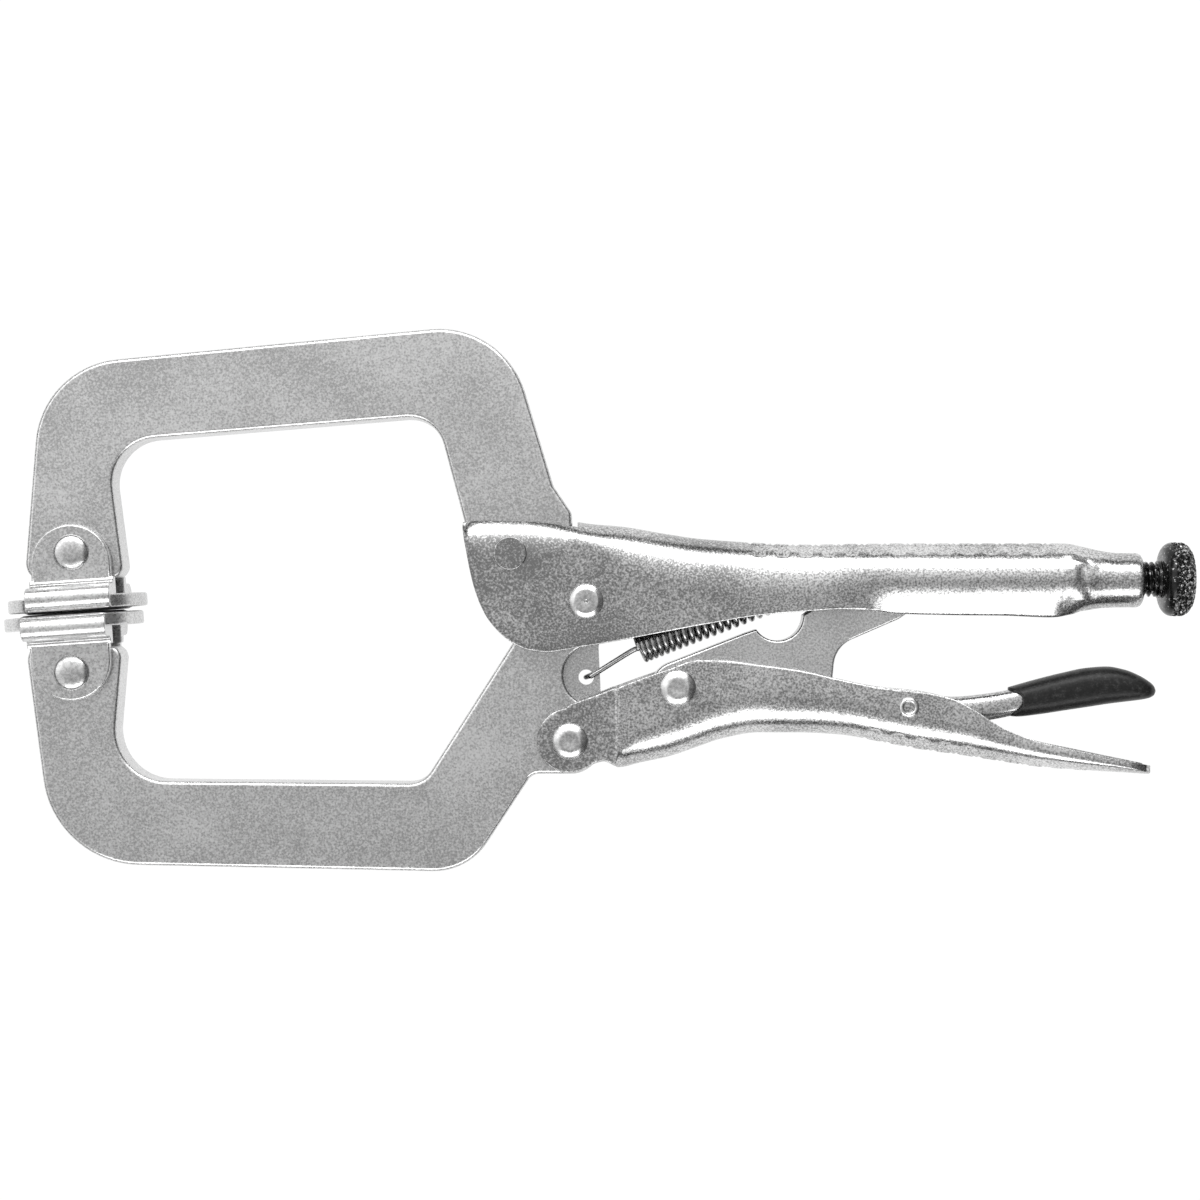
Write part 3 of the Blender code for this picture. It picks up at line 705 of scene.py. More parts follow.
def fixed_handle():
    """The upper handle: cheeks round the jaws, a channel with a grip, and the screw's tube."""
    c, w = CHEEK_HALF, SHEET
    stations = [
        (-28.7, 18.8, 16.6, c, w, 2.0, c, 2.2),
        (-28.4, 19.2, 14.4, c, w, 3.4, c, 2.2),
        (-28.0, 19.6, 12.2, c, w, 5.0, c, 2.2),
        (-27.2, 20.3, 7.9, c, w, 7.5, c, 2.2),
        (-26.2, 20.8, 3.6, c, w, 9.5, c, 2.2),
        (-24.9, 21.1, -0.2, c, w, 10.8, c, 2.2),
        (-23.1, 21.25, -3.8, c, w, 11.3, c, 2.2),
        (-20.5, 21.3, -7.0, c, w, 11.5, c, 2.2),
        (-17.4, 21.2, -9.6, c, w, 11.5, c, 2.2),
        (-13.6, 21.0, -11.3, c, w, 11.0, c - 0.1, 2.2),
        (-9.0, 20.4, -11.9, c, w, 10.0, c - 0.2, 2.2),
        (-5.0, 19.5, -11.4, c, w, 8.2, c - 0.3, 2.2),
        (-2.4, 18.7, -10.9, c, w, 6.0, c - 0.3, 2.2),
        (1.5, 18.1, -10.3, c, w, 6.6, c - 0.3, 2.2),
        (8.4, 17.5, -9.1, c, w, 9.5, c - 0.3, 2.2),
        (18.0, 15.9, -7.3, c, w, 12.0, c - 0.2, 2.2),
        (27.0, 14.6, -5.6, c, w, 12.4, c - 0.1, 2.2),
        (40.6, 13.7, -3.3, c + 0.2, w, 12.0, c + 0.1, 2.2),
        (52.0, 13.3, -2.3, c + 0.4, w, 11.0, c + 0.3, 2.2),
        (59.0, 13.4, -1.9, c + 0.6, w, 10.0, c + 0.5, 2.15),
        (63.5, 13.5, -2.0, c + 0.7, w, 9.4, c + 0.2, 2.1),
        (67.5, 13.5, -2.4, c + 0.8, w, 8.7, 6.9, 2.1),
        (72.0, 13.6, -3.1, c + 0.8, w, 8.6, 5.7, 2.0),
        (88.0, 13.6, -3.5, c + 0.8, w, 8.6, 5.4, 2.0),
        (98.0, 13.6, -3.6, c + 0.8, w, 8.6, 5.2, 2.0),
        (108.5, 13.6, -4.0, c + 0.7, w, 8.6, 4.8, 2.0),
        (113.0, 13.5, -3.4, c + 0.3, 2.4, 8.4, 3.6, 2.0),
        (117.0, 12.7, -2.4, 7.2, 2.3, 7.6, 2.0, 2.0),
        (121.0, 11.8, -1.8, 6.6, 2.2, 6.8, 0.9, 2.0),
        (125.0, 11.3, -1.6, 6.4, 2.1, 6.4, 0.6, 2.0),
        (129.0, 11.3, -1.6, 6.4, 2.1, 6.4, 0.6, 2.0),
        (130.0, 11.0, -1.3, 6.1, 1.8, 6.1, 0.6, 2.0),
        (130.4, 10.4, -0.7, 5.5, 1.2, 5.5, 0.6, 2.0),
    ]
    grip_relief = grip(37.0, 110.0, 7.2)

    def relief(x, s):
        squeezed = math.exp(-(((x - CRIMP_X) / CRIMP_SPREAD) ** 2)) * min(1.0, s / 6.0)
        dents = noise.noise(Vector((x * 0.42, s * 0.5, 3.0)))
        return grip_relief(x, s) + CRIMP_DEPTH * squeezed * dents

    node = solid("fixed_handle_shell", folded(stations, (35.5, 111.5), relief), HANDLE_SHARP_ANGLE)
    opening = rounded([(-40, -20, 0), (-2.0, -20, 0), (-2.0, 30, 0), (-40, 30, 0)])
    combine(node, "DIFFERENCE", prism(opening, -SLOT_HALF, SLOT_HALF), sharp=HANDLE_SHARP_ANGLE)
    tab = rounded([(50.6, 12.2, 0), (50.6, 1.8, 1.6), (56.2, 1.8, 1.6), (56.2, 12.2, 0)])
    combine(node, "UNION", prism(tab, -TAB_HALF, TAB_HALF), sharp=HANDLE_SHARP_ANGLE)
    return finished(node, "fixed_handle", "bright_plated_steel", "fixed_handle")


def moving_handle():
    """The lower handle: two round ears on the moving jaw, a channel, and a flat spoon tip."""
    c, w = CHEEK_HALF, SHEET
    bx, by = HANDLE_PIVOT
    flat = (c, w, 0.8, c, 2.5)
    stations = []
    for angle in range(170, 94, -6):
        dx = HANDLE_EAR_R * math.cos(math.radians(angle))
        dy = HANDLE_EAR_R * math.sin(math.radians(angle))
        stations.append((bx + dx, by - dy, by + dy, *flat))
    stations += [
        (bx, by - HANDLE_EAR_R, -24.1, *flat),
        (-2.0, by - HANDLE_EAR_R + 0.3, -23.4, *flat),
        (-0.2, -39.4, -22.8, *flat),
        (2.0, -38.1, -22.0, *flat),
        (4.2, -37.6, -21.2, *flat),
        (6.2, -38.4, -20.4, *flat),
        (6.9, -38.9, -20.2, c, w, 2.0, c, 2.5),
        (7.5, -39.1, -20.0, c + 0.3, w, 5.0, c + 0.3, 2.3),
        (12.6, -38.0, -18.1, c, w, 8.0, c - 0.1, 2.2),
        (19.5, -36.5, -15.7, c, w, 9.5, c - 0.2, 2.2),
        (26.0, -34.3, -13.7, c, w, 10.0, c - 0.3, 2.2),
        (32.0, -32.3, -13.8, c, w, 10.0, c - 0.3, 2.2),
        (40.5, -30.9, -14.9, c, w, 9.6, c - 0.2, 2.2),
        (49.4, -30.9, -16.1, c, w, 9.0, c - 0.2, 2.2),
        (59.5, -31.4, -18.4, c, w, 8.4, c - 0.2, 2.2),
        (69.0, -33.1, -20.3, c, w, 8.2, c - 0.1, 2.2),
        (78.6, -34.9, -21.3, c + 0.2, w, 8.2, c + 0.1, 2.2),
        (85.0, -35.8, -22.7, c + 0.4, w, 7.8, c + 0.3, 2.2),
        (90.6, -36.6, -25.6, c + 0.6, 2.4, 6.8, c + 0.5, 2.2),
        (96.9, -37.6, -29.6, c + 0.8, 2.3, 5.6, c + 0.7, 2.2),
        (106.0, -38.9, -33.0, c + 0.9, 2.2, 4.4, c + 0.8, 2.2),
        (116.1, -39.7, -35.2, c + 0.9, 2.1, 3.2, c + 0.8, 2.3),
        (125.7, -40.2, -37.2, c + 0.5, 2.0, 1.8, c + 0.4, 2.3),
        (130.2, -40.5, -38.1, c - 0.8, 1.9, 1.0, c - 0.8, 2.3),
        (131.6, -40.6, -38.4, c - 2.6, 1.8, 0.8, c - 2.6, 2.3),
    ]
    relief = grip(64.0, 121.0, 7.4)
    node = solid("moving_handle_shell", folded(stations, (62.5, 122.5), relief), HANDLE_SHARP_ANGLE)
    opening = rounded([(-20, -50, 0), (7.0, -50, 0), (7.0, -10, 0), (-20, -10, 0)])
    combine(node, "DIFFERENCE", prism(opening, -SLOT_HALF, SLOT_HALF), sharp=HANDLE_SHARP_ANGLE)
    return finished(node, "moving_handle", "bright_plated_steel", "moving_handle")


# ---------------------------------------------------------------- toggle link and release lever

BAR_SIDES = 56
MOUTH_REACH = 14.0


def toggle_link():
    """The plate between the moving handle and the screw, with its round notch."""
    notch = arc((44.8, -3.3), 6.0, 214, 360, 26)
    outline = [
        *arc(LINK_PIVOT, 6.0, 256, 112, 20),
        (37.0, -7.6, 0.0),
        *notch,
        (52.6, -2.0, 1.0),
        (74.0, 7.6, 3.0),
        *arc((79.8, 4.6), 3.6, 88, -80, 16),
        (73.4, -4.1, 8.0),
        (58.4, -10.6, 7.0),
        (57.4, -20.6, 2.0),
    ]
    node = solid("toggle_link", prism(rounded(outline), -LINK_HALF, LINK_HALF, 0.6))
    return finished(node, "link", "satin_plated_steel", "link")


def bar(stations, step, soft, end_curve=0.0):
    """Rings of a bar along x with soft superellipse sections.

    Stations are (x, top, bottom, half). Its start is drawn out by end_curve at the middle of its
    height, which gives it a curved mouth.
    """
    first, last = stations[0][0], stations[-1][0]
    rings = []
    count = max(2, round((last - first) / step))
    for i in range(count + 1):
        x = first + (last - first) * math.sin(math.pi / 2 * i / count)
        ring = []
        for k in range(BAR_SIDES):
            a = 2 * math.pi * k / BAR_SIDES
            fade = max(0.0, 1 - (x - first) / MOUTH_REACH) ** 2
            here = min(x + end_curve * fade * math.cos(a) ** 2, last)
            top, bottom, half = at(stations, here)
            across = math.copysign(abs(math.cos(a)) ** soft, math.cos(a))
            upward = math.copysign(abs(math.sin(a)) ** soft, math.sin(a))
            middle, height = (top + bottom) / 2, (top - bottom) / 2
            ring.append(Vector((here, middle + height * upward, half * across)))
        rings.append(ring)
    return rings


def release_lever():
    """The stamped lever, with a rounded shank that goes into its sleeve."""
    stations = [
        (56.6, -25.0, -27.5, 2.6),
        (58.0, -24.6, -27.6, 3.0),
        (64.0, -23.2, -27.8, 3.2),
        (71.0, -21.1, -28.9, 3.2),
        (76.0, -21.4, -29.1, 3.2),
        (86.3, -22.5, -28.8, 3.2),
        (94.0, -21.8, -28.1, 3.2),
        (100.0, -20.8, -27.0, 3.2),
        (106.0, -19.8, -25.3, 3.2),
        (115.0, -18.4, -23.8, 3.1),
        (124.0, -18.0, -22.4, 2.8),
        (129.0, -19.2, -21.6, 2.0),
    ]
    node = solid("release_lever_bar", skin(bar(stations, 0.8, 0.72)), 50)
    return finished(node, "release_lever", "bright_plated_steel", "release_lever")


def lever_sleeve():
    """The dipped vinyl grip: a leaf with soft sections and a curved mouth round the lever."""
    stations = [
        (99.3, -20.3, -27.0, 4.2),
        (101.0, -19.8, -27.2, 4.5),
        (106.0, -18.4, -26.7, 4.8),
        (112.0, -16.9, -25.8, 4.8),
        (118.0, -15.7, -24.9, 4.8),
        (122.5, -15.4, -24.2, 4.7),
        (126.5, -16.1, -23.7, 4.5),
        (129.8, -17.4, -23.3, 4.1),
        (132.0, -18.7, -22.9, 3.3),
        (133.3, -19.8, -22.3, 2.0),
        (133.8, -20.7, -21.5, 0.8),
    ]
    rings = bar(stations, 0.6, 0.8, 3.0)
    rim = []
    middle = sum(rings[0], Vector()) / len(rings[0])
    for shrink, shift in ((1.3, 4.0), (1.0, 0.25), (0.8, 0.0), (0.4, -0.1)):
        ring = []
        for p in rings[0]:
            inward = Vector((0, middle.y - p.y, -p.z)).normalized() * shrink
            ring.append(p + inward + Vector((shift, 0, 0)))
        rim.append(ring)
    node = solid("lever_sleeve_vinyl", skin(rim + rings), 60)
    return finished(node, "release_lever", "black_vinyl", "lever_sleeve")


# ---------------------------------------------------------------- pads

PAD_FACE = -13.4
PAD_DISC_R = 16.1
PAD_DISC_H = 3.1
PAD_DISC_CUT = 13.0
PAD_FOLD_H = 5.6
PAD_FOLD_HALF_W = 9.8
PAD_HALF_DEPTH = 14.5
EAR_R = 9.3
EAR_DROP = 2.75
PAD_TILT = math.radians(4.0)
PAD_SET_BACK = 0.35


def pad_disc(set_back):
    """The round face of a pad, flattened on the two sides where its folds begin."""
    profile = [
        (PAD_DISC_R - 4.5, -0.45),
        (PAD_DISC_R - 3.5, 0),
        (PAD_DISC_R, 0),
        (PAD_DISC_R, PAD_DISC_H),
        (PAD_DISC_R - 3, PAD_DISC_H),
    ]
    disc = turned(softened(profile, 0.6, 4), 96)
    for vert in disc.verts:
        depth = min(max(-vert.co.y, -PAD_DISC_CUT), PAD_DISC_CUT)
        vert.co = Vector((vert.co.x - set_back, PAD_FACE + vert.co.z, depth))
    return disc


def pad_ear(side):
    """The round ear on one side, 1 or -1, of the jaw's end."""
    low, high = sorted((side * INNER_HALF, side * CHEEK_HALF))
    outline = [
        (EAR_R, PAD_FACE + 3.0, 0.0),
        *arc((0, -EAR_DROP), EAR_R, 0, 180, 40),
        (-EAR_R, PAD_FACE + 3.0, 0.0),
    ]
    return prism(rounded(outline), low, high, 0.55, 4)


def pad_fold(side):
    """One side of the pad, folded back over the disc to the foot of its ear."""
    radius = PAD_FOLD_H / 2
    roll_z = PAD_HALF_DEPTH - radius
    turns = [math.pi * k / 24 for k in range(25)]
    roll = [(radius * math.sin(a), radius * (1 - math.cos(a))) for a in turns]
    top = PAD_FACE + PAD_FOLD_H
    section = rounded(
        [
            (side * INNER_HALF, PAD_FACE + 0.1, 0.0),
            *[(side * (roll_z + r), PAD_FACE + h, 0.0) for r, h in roll],
            (side * (CHEEK_HALF + 0.9), top - 0.1, 0.5),
            (side * (CHEEK_HALF + 0.3), top + 0.5, 0.3),
            (side * (CHEEK_HALF + 0.3), top + 1.0, 0.4),
            (side * (CHEEK_HALF - 0.1), top + 1.7, 0.3),
            (side * INNER_HALF, top + 1.7, 0.0),
        ],
        15.0,
    )
    fold = prism(section, -PAD_FOLD_HALF_W, PAD_FOLD_HALF_W, 0.3, 3)
    for vert in fold.verts:
        vert.co = Vector((vert.co.z, vert.co.y, vert.co.x))
    return fold


def swivel_pad(name, up):
    """A pressed pad: a disc, with its two sides folded back over it and bent up into ears."""
    set_back = PAD_SET_BACK if up > 0 else 0.0
    px, py = PAD_PIVOTS[name]
    px -= set_back
    tilt_cos, tilt_sin = math.cos(PAD_TILT), math.sin(PAD_TILT)

    def settle(bm):
        for vert in bm.verts:
            x, y, z = vert.co
            y *= up
            vert.co = (px + x * tilt_cos - y * tilt_sin, py + x * tilt_sin + y * tilt_cos, z)
        return bm

    node = solid(name + "_body", settle(pad_disc(set_back)))
    for side in (-1, 1):
        combine(node, "UNION", settle(pad_ear(side)))
        combine(node, "UNION", settle(pad_fold(side)))
    return finished(node, name, "satin_plated_steel", name)


# ---------------------------------------------------------------- rivets

SEAT = CHEEK_HALF + 0.05


def two_headed(profile):
    """A solid of revolution with the same head, from (radius, height) points, on both sides."""
    return turned([(r, -z) for r, z in profile[::-1]] + profile)


def coned_head():
    """A flat cone with a dimple in its middle."""
    profile = [
        (3.0, SEAT),
        (4.05, SEAT),
        (4.05, SEAT + 0.45),
        (2.8, SEAT + 1.2),
        (0.7, SEAT + 1.25),
    ]
    return softened(profile) + [(0.5, SEAT + 1.2), (0.4, SEAT + 0.8), (0.12, SEAT + 0.6)]


def crowned_head():
    """A stepped head that rises to a blunt ring."""
    profile = [
        (3.0, SEAT),
        (4.25, SEAT),
        (4.25, SEAT + 0.5),
        (3.3, SEAT + 1.15),
        (2.3, SEAT + 1.55),
        (1.2, SEAT + 1.45),
        (0.3, SEAT + 1.35),
    ]
    return softened(profile, 0.5, 5)


def domed_head():
    """A plain low dome."""
    turns = [math.pi / 2 * k / 14 for k in range(14)]
    dome = [(4.2 * math.cos(a) ** 0.8, SEAT + 1.5 * math.sin(a)) for a in turns]
    return [(3.0, SEAT), *dome, (0.1, SEAT + 1.5)]


def ring_head():
    """The rolled ring of a small hollow rivet."""
    profile = [
        (1.5, SEAT),
        (2.4, SEAT),
        (2.3, SEAT + 0.55),
        (1.7, SEAT + 0.85),
        (1.15, SEAT + 0.5),
        (1.0, SEAT - 0.5),
    ]
    return softened(profile, 0.25, 4) + [(0.75, SEAT - 0.55), (0.6, SEAT - 0.3), (0.2, SEAT - 0.2)]


def plug_head():
    """A pin that stands a little proud of the cheek."""
    top = CHEEK_HALF + 0.45
    return softened([(3.9, top - 2.0), (3.9, top), (0.2, top)], 0.4, 5)


def rivet(name, body, centre, head, slot="polished_rivet_steel"):
    """A rivet with the same head on both sides of the tool."""
    node = solid(name + "_heads", moved(two_headed(head), *centre), 32)
    return finished(node, body, slot, name)


def rivets():
    """Every rivet, each on the body that carries it."""
    rivet("jaw_pivot_rivet", "fixed_handle", (0, 0), coned_head())
    rivet("handle_pivot_rivet", "moving_handle", HANDLE_PIVOT, crowned_head())
    rivet("link_rivet", "moving_handle", LINK_PIVOT, crowned_head())
    rivet("lever_rivet", "moving_handle", LEVER_PIVOT, ring_head())
    for pad, pivot in PAD_PIVOTS.items():
        rivet(pad + "_rivet", pad, pivot, domed_head())
    rivet("jaw_rivet", "fixed_handle", JAW_RIVET, plug_head(), "bright_plated_steel")


# ---------------------------------------------------------------- adjusting screw

SCREW_Y = 5.1
THREAD_R = 4.15
THREAD_PITCH = 1.35
THREAD_DEPTH = 0.8
THREAD_ROOT = 0.12
THREAD_FLANK = 0.7
SCREW_SIDES = 160
KNOB_LENGTH = 7.2
KNOB_OUT = 0.8
KNOB_R = 8.7
KNURLS = 30
KNURL_DEPTH = 0.7
KNURL_FLANK = 0.62
KNOB_STEPS = 44
TIP_PROFILE = [(0.0, 0.6), (0.0, 2.4), (0.5, 2.9), (1.6, THREAD_R - THREAD_DEPTH)]
COLLAR_PROFILE = [
    (-1.1, 3.4),
    (-1.0, 4.3),
    (-0.5, 4.45),
    (-0.4, 3.9),
    (-0.2, 3.9),
    (-0.1, 4.5),
    (0.0, 4.6),
]
END_PROFILE = [(0.0, 3.2), (-0.5, 2.7), (-0.5, 0.5)]
KNOB_PROFILE = [
    (0.0, 5.4),
    (0.05, 6.4),
    (0.3, 7.2),
    (0.9, 8.0),
    (1.7, 8.5),
    (2.5, 8.7),
    (4.6, 8.7),
    (5.5, 8.4),
    (6.3, 7.7),
    (6.9, 6.7),
    (7.2, 5.4),
]


def thread_radius(x, angle):
    """A rounded V thread's radius at a place along the screw and round it."""
    phase = (x / THREAD_PITCH - angle / (2 * math.pi)) % 1.0
    ridge = 1 - abs(2 * phase - 1)
    height = min(1.0, max(0.0, (ridge - THREAD_ROOT) / THREAD_FLANK))
    return THREAD_R - THREAD_DEPTH * (1 - height)


def knurl(x, angle):
    """Depth of the crossed knurling grooves, from 0 to 1."""
    turns = angle / (2 * math.pi) * KNURLS
    lead = x / (2 * math.pi * KNOB_R / KNURLS)
    grooves = [abs(((turns + s * lead) % 1.0) * 2 - 1) for s in (-1, 1)]
    return 1 - min(min(g, KNURL_FLANK) / KNURL_FLANK for g in grooves)


def screw_ring(x, radius_at):
    """A ring of points round the screw's axis, with radius_at(x, angle) as its radius."""
    points = []
    for k in range(SCREW_SIDES):
        a = 2 * math.pi * k / SCREW_SIDES
        r = radius_at(x, a)
        points.append((x, SCREW_Y + r * math.cos(a), r * math.sin(a)))
    return points


def plain_rings(start, profile):
    """Round rings from (distance past start, radius) points."""
    return [screw_ring(start + shift, lambda _x, _a, r=r: r) for shift, r in profile]


def knob_rings(head):
    """Rings of the head, with the knurl fading out towards its smooth front and its end."""
    rings = []
    for i in range(KNOB_STEPS + 1):
        along = KNOB_LENGTH * i / KNOB_STEPS
        radius = at(KNOB_PROFILE, along)[0]
        fade = min(1.0, max(0.0, (along - 2.0) / 0.5)) * min(1.0, (KNOB_LENGTH - along) / 0.4)
        depth = KNURL_DEPTH * fade
        rings.append(screw_ring(head + along, lambda x, a, r=radius, d=depth: r - d * knurl(x, a)))
    return rings


def adjusting_screw():
    """Black screw with a real helical thread, a collar and a head with a crossed knurl."""
    low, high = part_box("adjusting_screw")
    tip = (low.x - ORIGIN.x) / MM
    end = (high.x - ORIGIN.x) / MM + KNOB_OUT
    head = end - KNOB_LENGTH
    rings = plain_rings(tip, TIP_PROFILE)
    x = tip + 1.7
    while x < head - 1.2:
        rings.append(screw_ring(x, thread_radius))
        x += THREAD_PITCH / 8
    rings += plain_rings(head, COLLAR_PROFILE)
    rings += knob_rings(head)
    rings += plain_rings(end, END_PROFILE)
    node = solid("adjusting_screw_thread", skin(rings), 32)
    return finished(node, "adjusting_screw", "black_oxide_steel", "adjusting_screw")


# ---------------------------------------------------------------- spring

WIRE_R = 0.6
COIL_R = 3.2
COIL_TURNS = 21
COIL_STEPS = 20
EVEN_SHARE = 0.35
STRETCH_POWER = 1.35
COIL_START = (12.4, -11.1)
COIL_END = (46.0, 1.8)
ANCHOR_HOLE = (53.4, 4.6)


def tube(path, radius, around=10):
    """A round wire along a path of points."""
    turns = [2 * math.pi * k / around for k in range(around)]
    rings = []
    side = Vector((0, 0, 1))
    for i, here in enumerate(path):
        ahead = (path[min(i + 1, len(path) - 1)] - path[max(i - 1, 0)]).normalized()
        side = (side - ahead * side.dot(ahead)).normalized()
        other = ahead.cross(side)
        rings.append([here + (side * math.cos(a) + other * math.sin(a)) * radius for a in turns])
    return skin(rings)


def smooth_path(points, cuts):
    """Points on a Catmull-Rom curve through the given ones."""
    rows = [points[0], *points, points[-1]]
    result = []
    for a, b, c, d in zip(rows, rows[1:], rows[2:], rows[3:]):
        for k in range(cuts):
            t = k / cuts
            result.append(
                b + 0.5 * t * (c - a + t * (2 * a - 5 * b + 4 * c - d + t * (3 * (b - c) + d - a)))
            )
    return result + [points[-1]]


def return_spring():
    """A wire helix with a long hook through the jaw's tab and a short one on the handle's tab."""
    start, end = Vector((*COIL_START, 0)), Vector((*COIL_END, 0))
    along = (end - start).normalized()
    side, up = Vector((-along.y, along.x, 0)), Vector((0, 0, 1))
    over = TAB_HALF + WIRE_R + FIT
    hook, anchor = Vector((*HOOK_HOLE, 0)), Vector((*ANCHOR_HOLE, 0))
    front = [
        hook + along * 2.6 - up * (over + 0.3),
        hook + along * 0.9 - up * over,
        hook - up * 0.8,
        hook + up * 0.8,
        hook + along * 0.9 + up * over,
        hook + along * 2.0 + up * (over + 0.1),
        start - along * 2.2 + up * (COIL_R - 0.8),
    ]
    back = [
        end + along * 1.4 + up * (COIL_R - 0.5),
        anchor - along * 1.0 + up * over,
        anchor + up * 0.8,
        anchor - up * 0.8,
        anchor - along * 1.0 - up * over,
    ]
    coil = []
    for i in range(COIL_TURNS * COIL_STEPS + 1):
        share = i / (COIL_TURNS * COIL_STEPS)
        angle = 2 * math.pi * i / COIL_STEPS
        centre = start.lerp(end, EVEN_SHARE * share + (1 - EVEN_SHARE) * share**STRETCH_POWER)
        coil.append(centre + (up * math.cos(angle) + side * math.sin(angle)) * COIL_R)
    path = smooth_path(front + coil[:1], 5)[:-1] + coil + smooth_path(coil[-1:] + back, 5)[1:]
    node = solid("return_spring", tube(path, WIRE_R), 60)
    node.data.materials.append(MATERIALS["spring_wire"])
    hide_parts("spring")
    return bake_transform(node)


# ---------------------------------------------------------------- studio

CAMERA_DISTANCE = 600.0
CAMERA_AXIS = (3.24, 0.23)
VIEW_WIDTH = 282.4
SENSOR = 36.0
SKY = [(0.0, 1.0), (0.3, 1.3), (0.45, 1.42), (0.70, 1.30), (0.84, 0.98), (0.94, 0.66), (1.0, 0.54)]
FLOOR_HALF = 4.0
STAGE_LOW = -14.4
BAND_R = 1100.0
BAND_TOP = 400.0
BACKDROP_R = 3900.0
SOFTBOX_OUT = 0.95
SOFTBOX_UP = 0.75
SOFTBOX_TILT = 52


def set_camera(scene):
    """A camera straight above the tool."""
    camera = bpy.data.objects.new("camera", bpy.data.cameras.new("camera"))
    camera.data.sensor_width = SENSOR
    camera.data.lens = SENSOR * CAMERA_DISTANCE / VIEW_WIDTH
    camera.data.clip_start = 0.01
    camera.location = ORIGIN + Vector((*CAMERA_AXIS, CAMERA_DISTANCE)) * MM
    scene.collection.objects.link(camera)
    scene.camera = camera
    scene.view_settings.view_transform = "Standard"


def remapped(tree, value, start, end, low, high):
    """A node that takes a value's range from start to end over to low to high."""
    node = tree.nodes.new("ShaderNodeMapRange")
    node.inputs["From Min"].default_value = start
    node.inputs["From Max"].default_value = end
    node.inputs["To Min"].default_value = low
    node.inputs["To Max"].default_value = high
    tree.links.new(value, node.inputs["Value"])
    return node


def surround(scene):
    """A soft sky that is brightest low down and towards the fixed jaw, and dark past the screw."""
    world = bpy.data.worlds.new("studio")
    scene.world = world
    world.use_nodes = True
    tree = world.node_tree
    background = tree.nodes["Background"]
    direction = tree.nodes.new("ShaderNodeTexCoord").outputs["Generated"]
    parts = tree.nodes.new("ShaderNodeSeparateXYZ")
    tree.links.new(direction, parts.inputs[0])
    ramp = tree.nodes.new("ShaderNodeValToRGB")
    elements = ramp.color_ramp.elements
    while len(elements) < len(SKY):
        elements.new(0.5)
    for element, (position, level) in zip(elements, SKY):
        element.position = position
        element.color = (*grey(level / 2), 1)
    tree.links.new(parts.outputs["Z"], ramp.inputs["Fac"])
    lean = remapped(tree, parts.outputs["Y"], -0.2, 0.2, 1.30, 2.70)
    shaded = remapped(tree, parts.outputs["X"], 0.30, 0.70, 1.0, 0.12)
    shaded.interpolation_type = "SMOOTHSTEP"
    strength = tree.nodes.new("ShaderNodeMath")
    strength.operation = "MULTIPLY"
    tree.links.new(lean.outputs[0], strength.inputs[0])
    tree.links.new(shaded.outputs[0], strength.inputs[1])
    tree.links.new(ramp.outputs["Color"], background.inputs["Color"])
    tree.links.new(strength.outputs[0], background.inputs["Strength"])


def lay_floor(scene):
    """White paper under the tool, which glows a little so that it stays white."""
    bm = bmesh.new()
    bmesh.ops.create_grid(bm, x_segments=1, y_segments=1, size=FLOOR_HALF)
    mesh = bpy.data.meshes.new("floor")
    bm.to_mesh(mesh)
    bm.free()
    floor = bpy.data.objects.new("floor", mesh)
    paper = Finish("white_paper", 0.0)
    paper.colour(paper.noise(3.0, 4.0), [(0.3, grey(0.10)), (0.7, grey(0.12))])
    paper.shader.inputs["Roughness"].default_value = 0.9
    paper.shader.inputs["Emission Color"].default_value = (1, 1, 1, 1)
    paper.shader.inputs["Emission Strength"].default_value = 0.9
    mesh.materials.append(paper.material)
    floor.location.z = cad_box[0].z
    scene.collection.objects.link(floor)


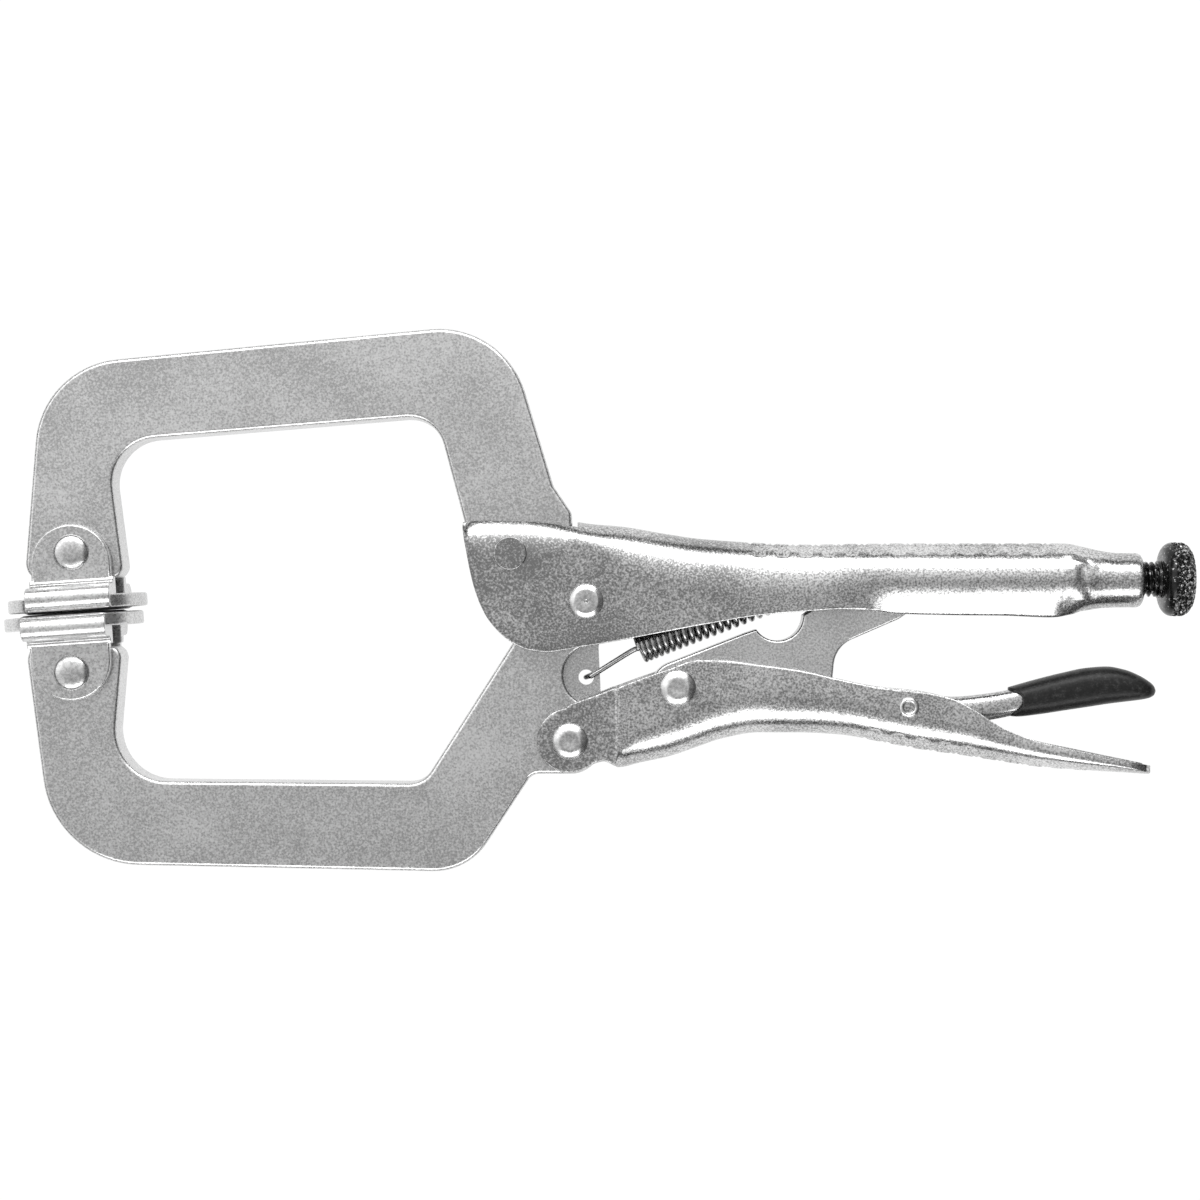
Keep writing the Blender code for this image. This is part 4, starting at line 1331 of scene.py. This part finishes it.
def plain_card(name, base, glow=0.0):
    """A flat studio material, which is never on the tool itself."""
    card = bpy.data.materials.new(name)
    card.use_nodes = True
    inputs = card.node_tree.nodes["Principled BSDF"].inputs
    inputs["Base Color"].default_value = (*grey(base), 1)
    if glow:
        inputs["Emission Color"].default_value = (1, 1, 1, 1)
        inputs["Emission Strength"].default_value = glow
    return card


def dark_band():
    """A black ring at the horizon that only reflections see."""
    sweep = [(BAND_R, STAGE_LOW), (BAND_R, BAND_TOP)]
    band = solid("dark_band", turned(sweep, 64, closed=False))
    band.data.materials.append(plain_card("black_card", 0.01))
    band.visible_camera = False
    band.visible_diffuse = False
    band.visible_shadow = False


def backdrop():
    """A white dome that only the camera sees."""
    angles = [math.pi / 40 * k for k in range(20)]
    sweep = [(BACKDROP_R * math.cos(a), BACKDROP_R * math.sin(a) + STAGE_LOW) for a in angles]
    dome = solid("backdrop", turned(sweep, 64))
    dome.data.materials.append(plain_card("white_backdrop", 0.0, 1.0))
    dome.visible_diffuse = False
    dome.visible_glossy = False
    dome.visible_shadow = False


def softbox(scene, name, side, power):
    """A wide lamp over one side of the tool, the fixed jaw's being side 1 and the other -1."""
    light = bpy.data.lights.new(name, "AREA")
    light.shape = "RECTANGLE"
    light.size, light.size_y = 1.4, 0.5
    light.energy = power
    lamp = bpy.data.objects.new(name, light)
    lamp.location = (0.0, SOFTBOX_OUT * side, SOFTBOX_UP)
    lamp.rotation_euler = (math.radians(-SOFTBOX_TILT * side), 0, 0)
    lamp.visible_camera = False
    scene.collection.objects.link(lamp)


def studio():
    """Camera, surround, floor, cards and lamps."""
    scene = bpy.context.scene
    set_camera(scene)
    surround(scene)
    lay_floor(scene)
    dark_band()
    backdrop()
    softbox(scene, "top_softbox", 1, 9.0)
    softbox(scene, "bottom_softbox", -1, 7.0)


fixed_jaw()
moving_jaw()
fixed_handle()
moving_handle()
toggle_link()
release_lever()
lever_sleeve()
swivel_pad("upper_pad", 1)
swivel_pad("lower_pad", -1)
rivets()
adjusting_screw()
return_spring()
studio()
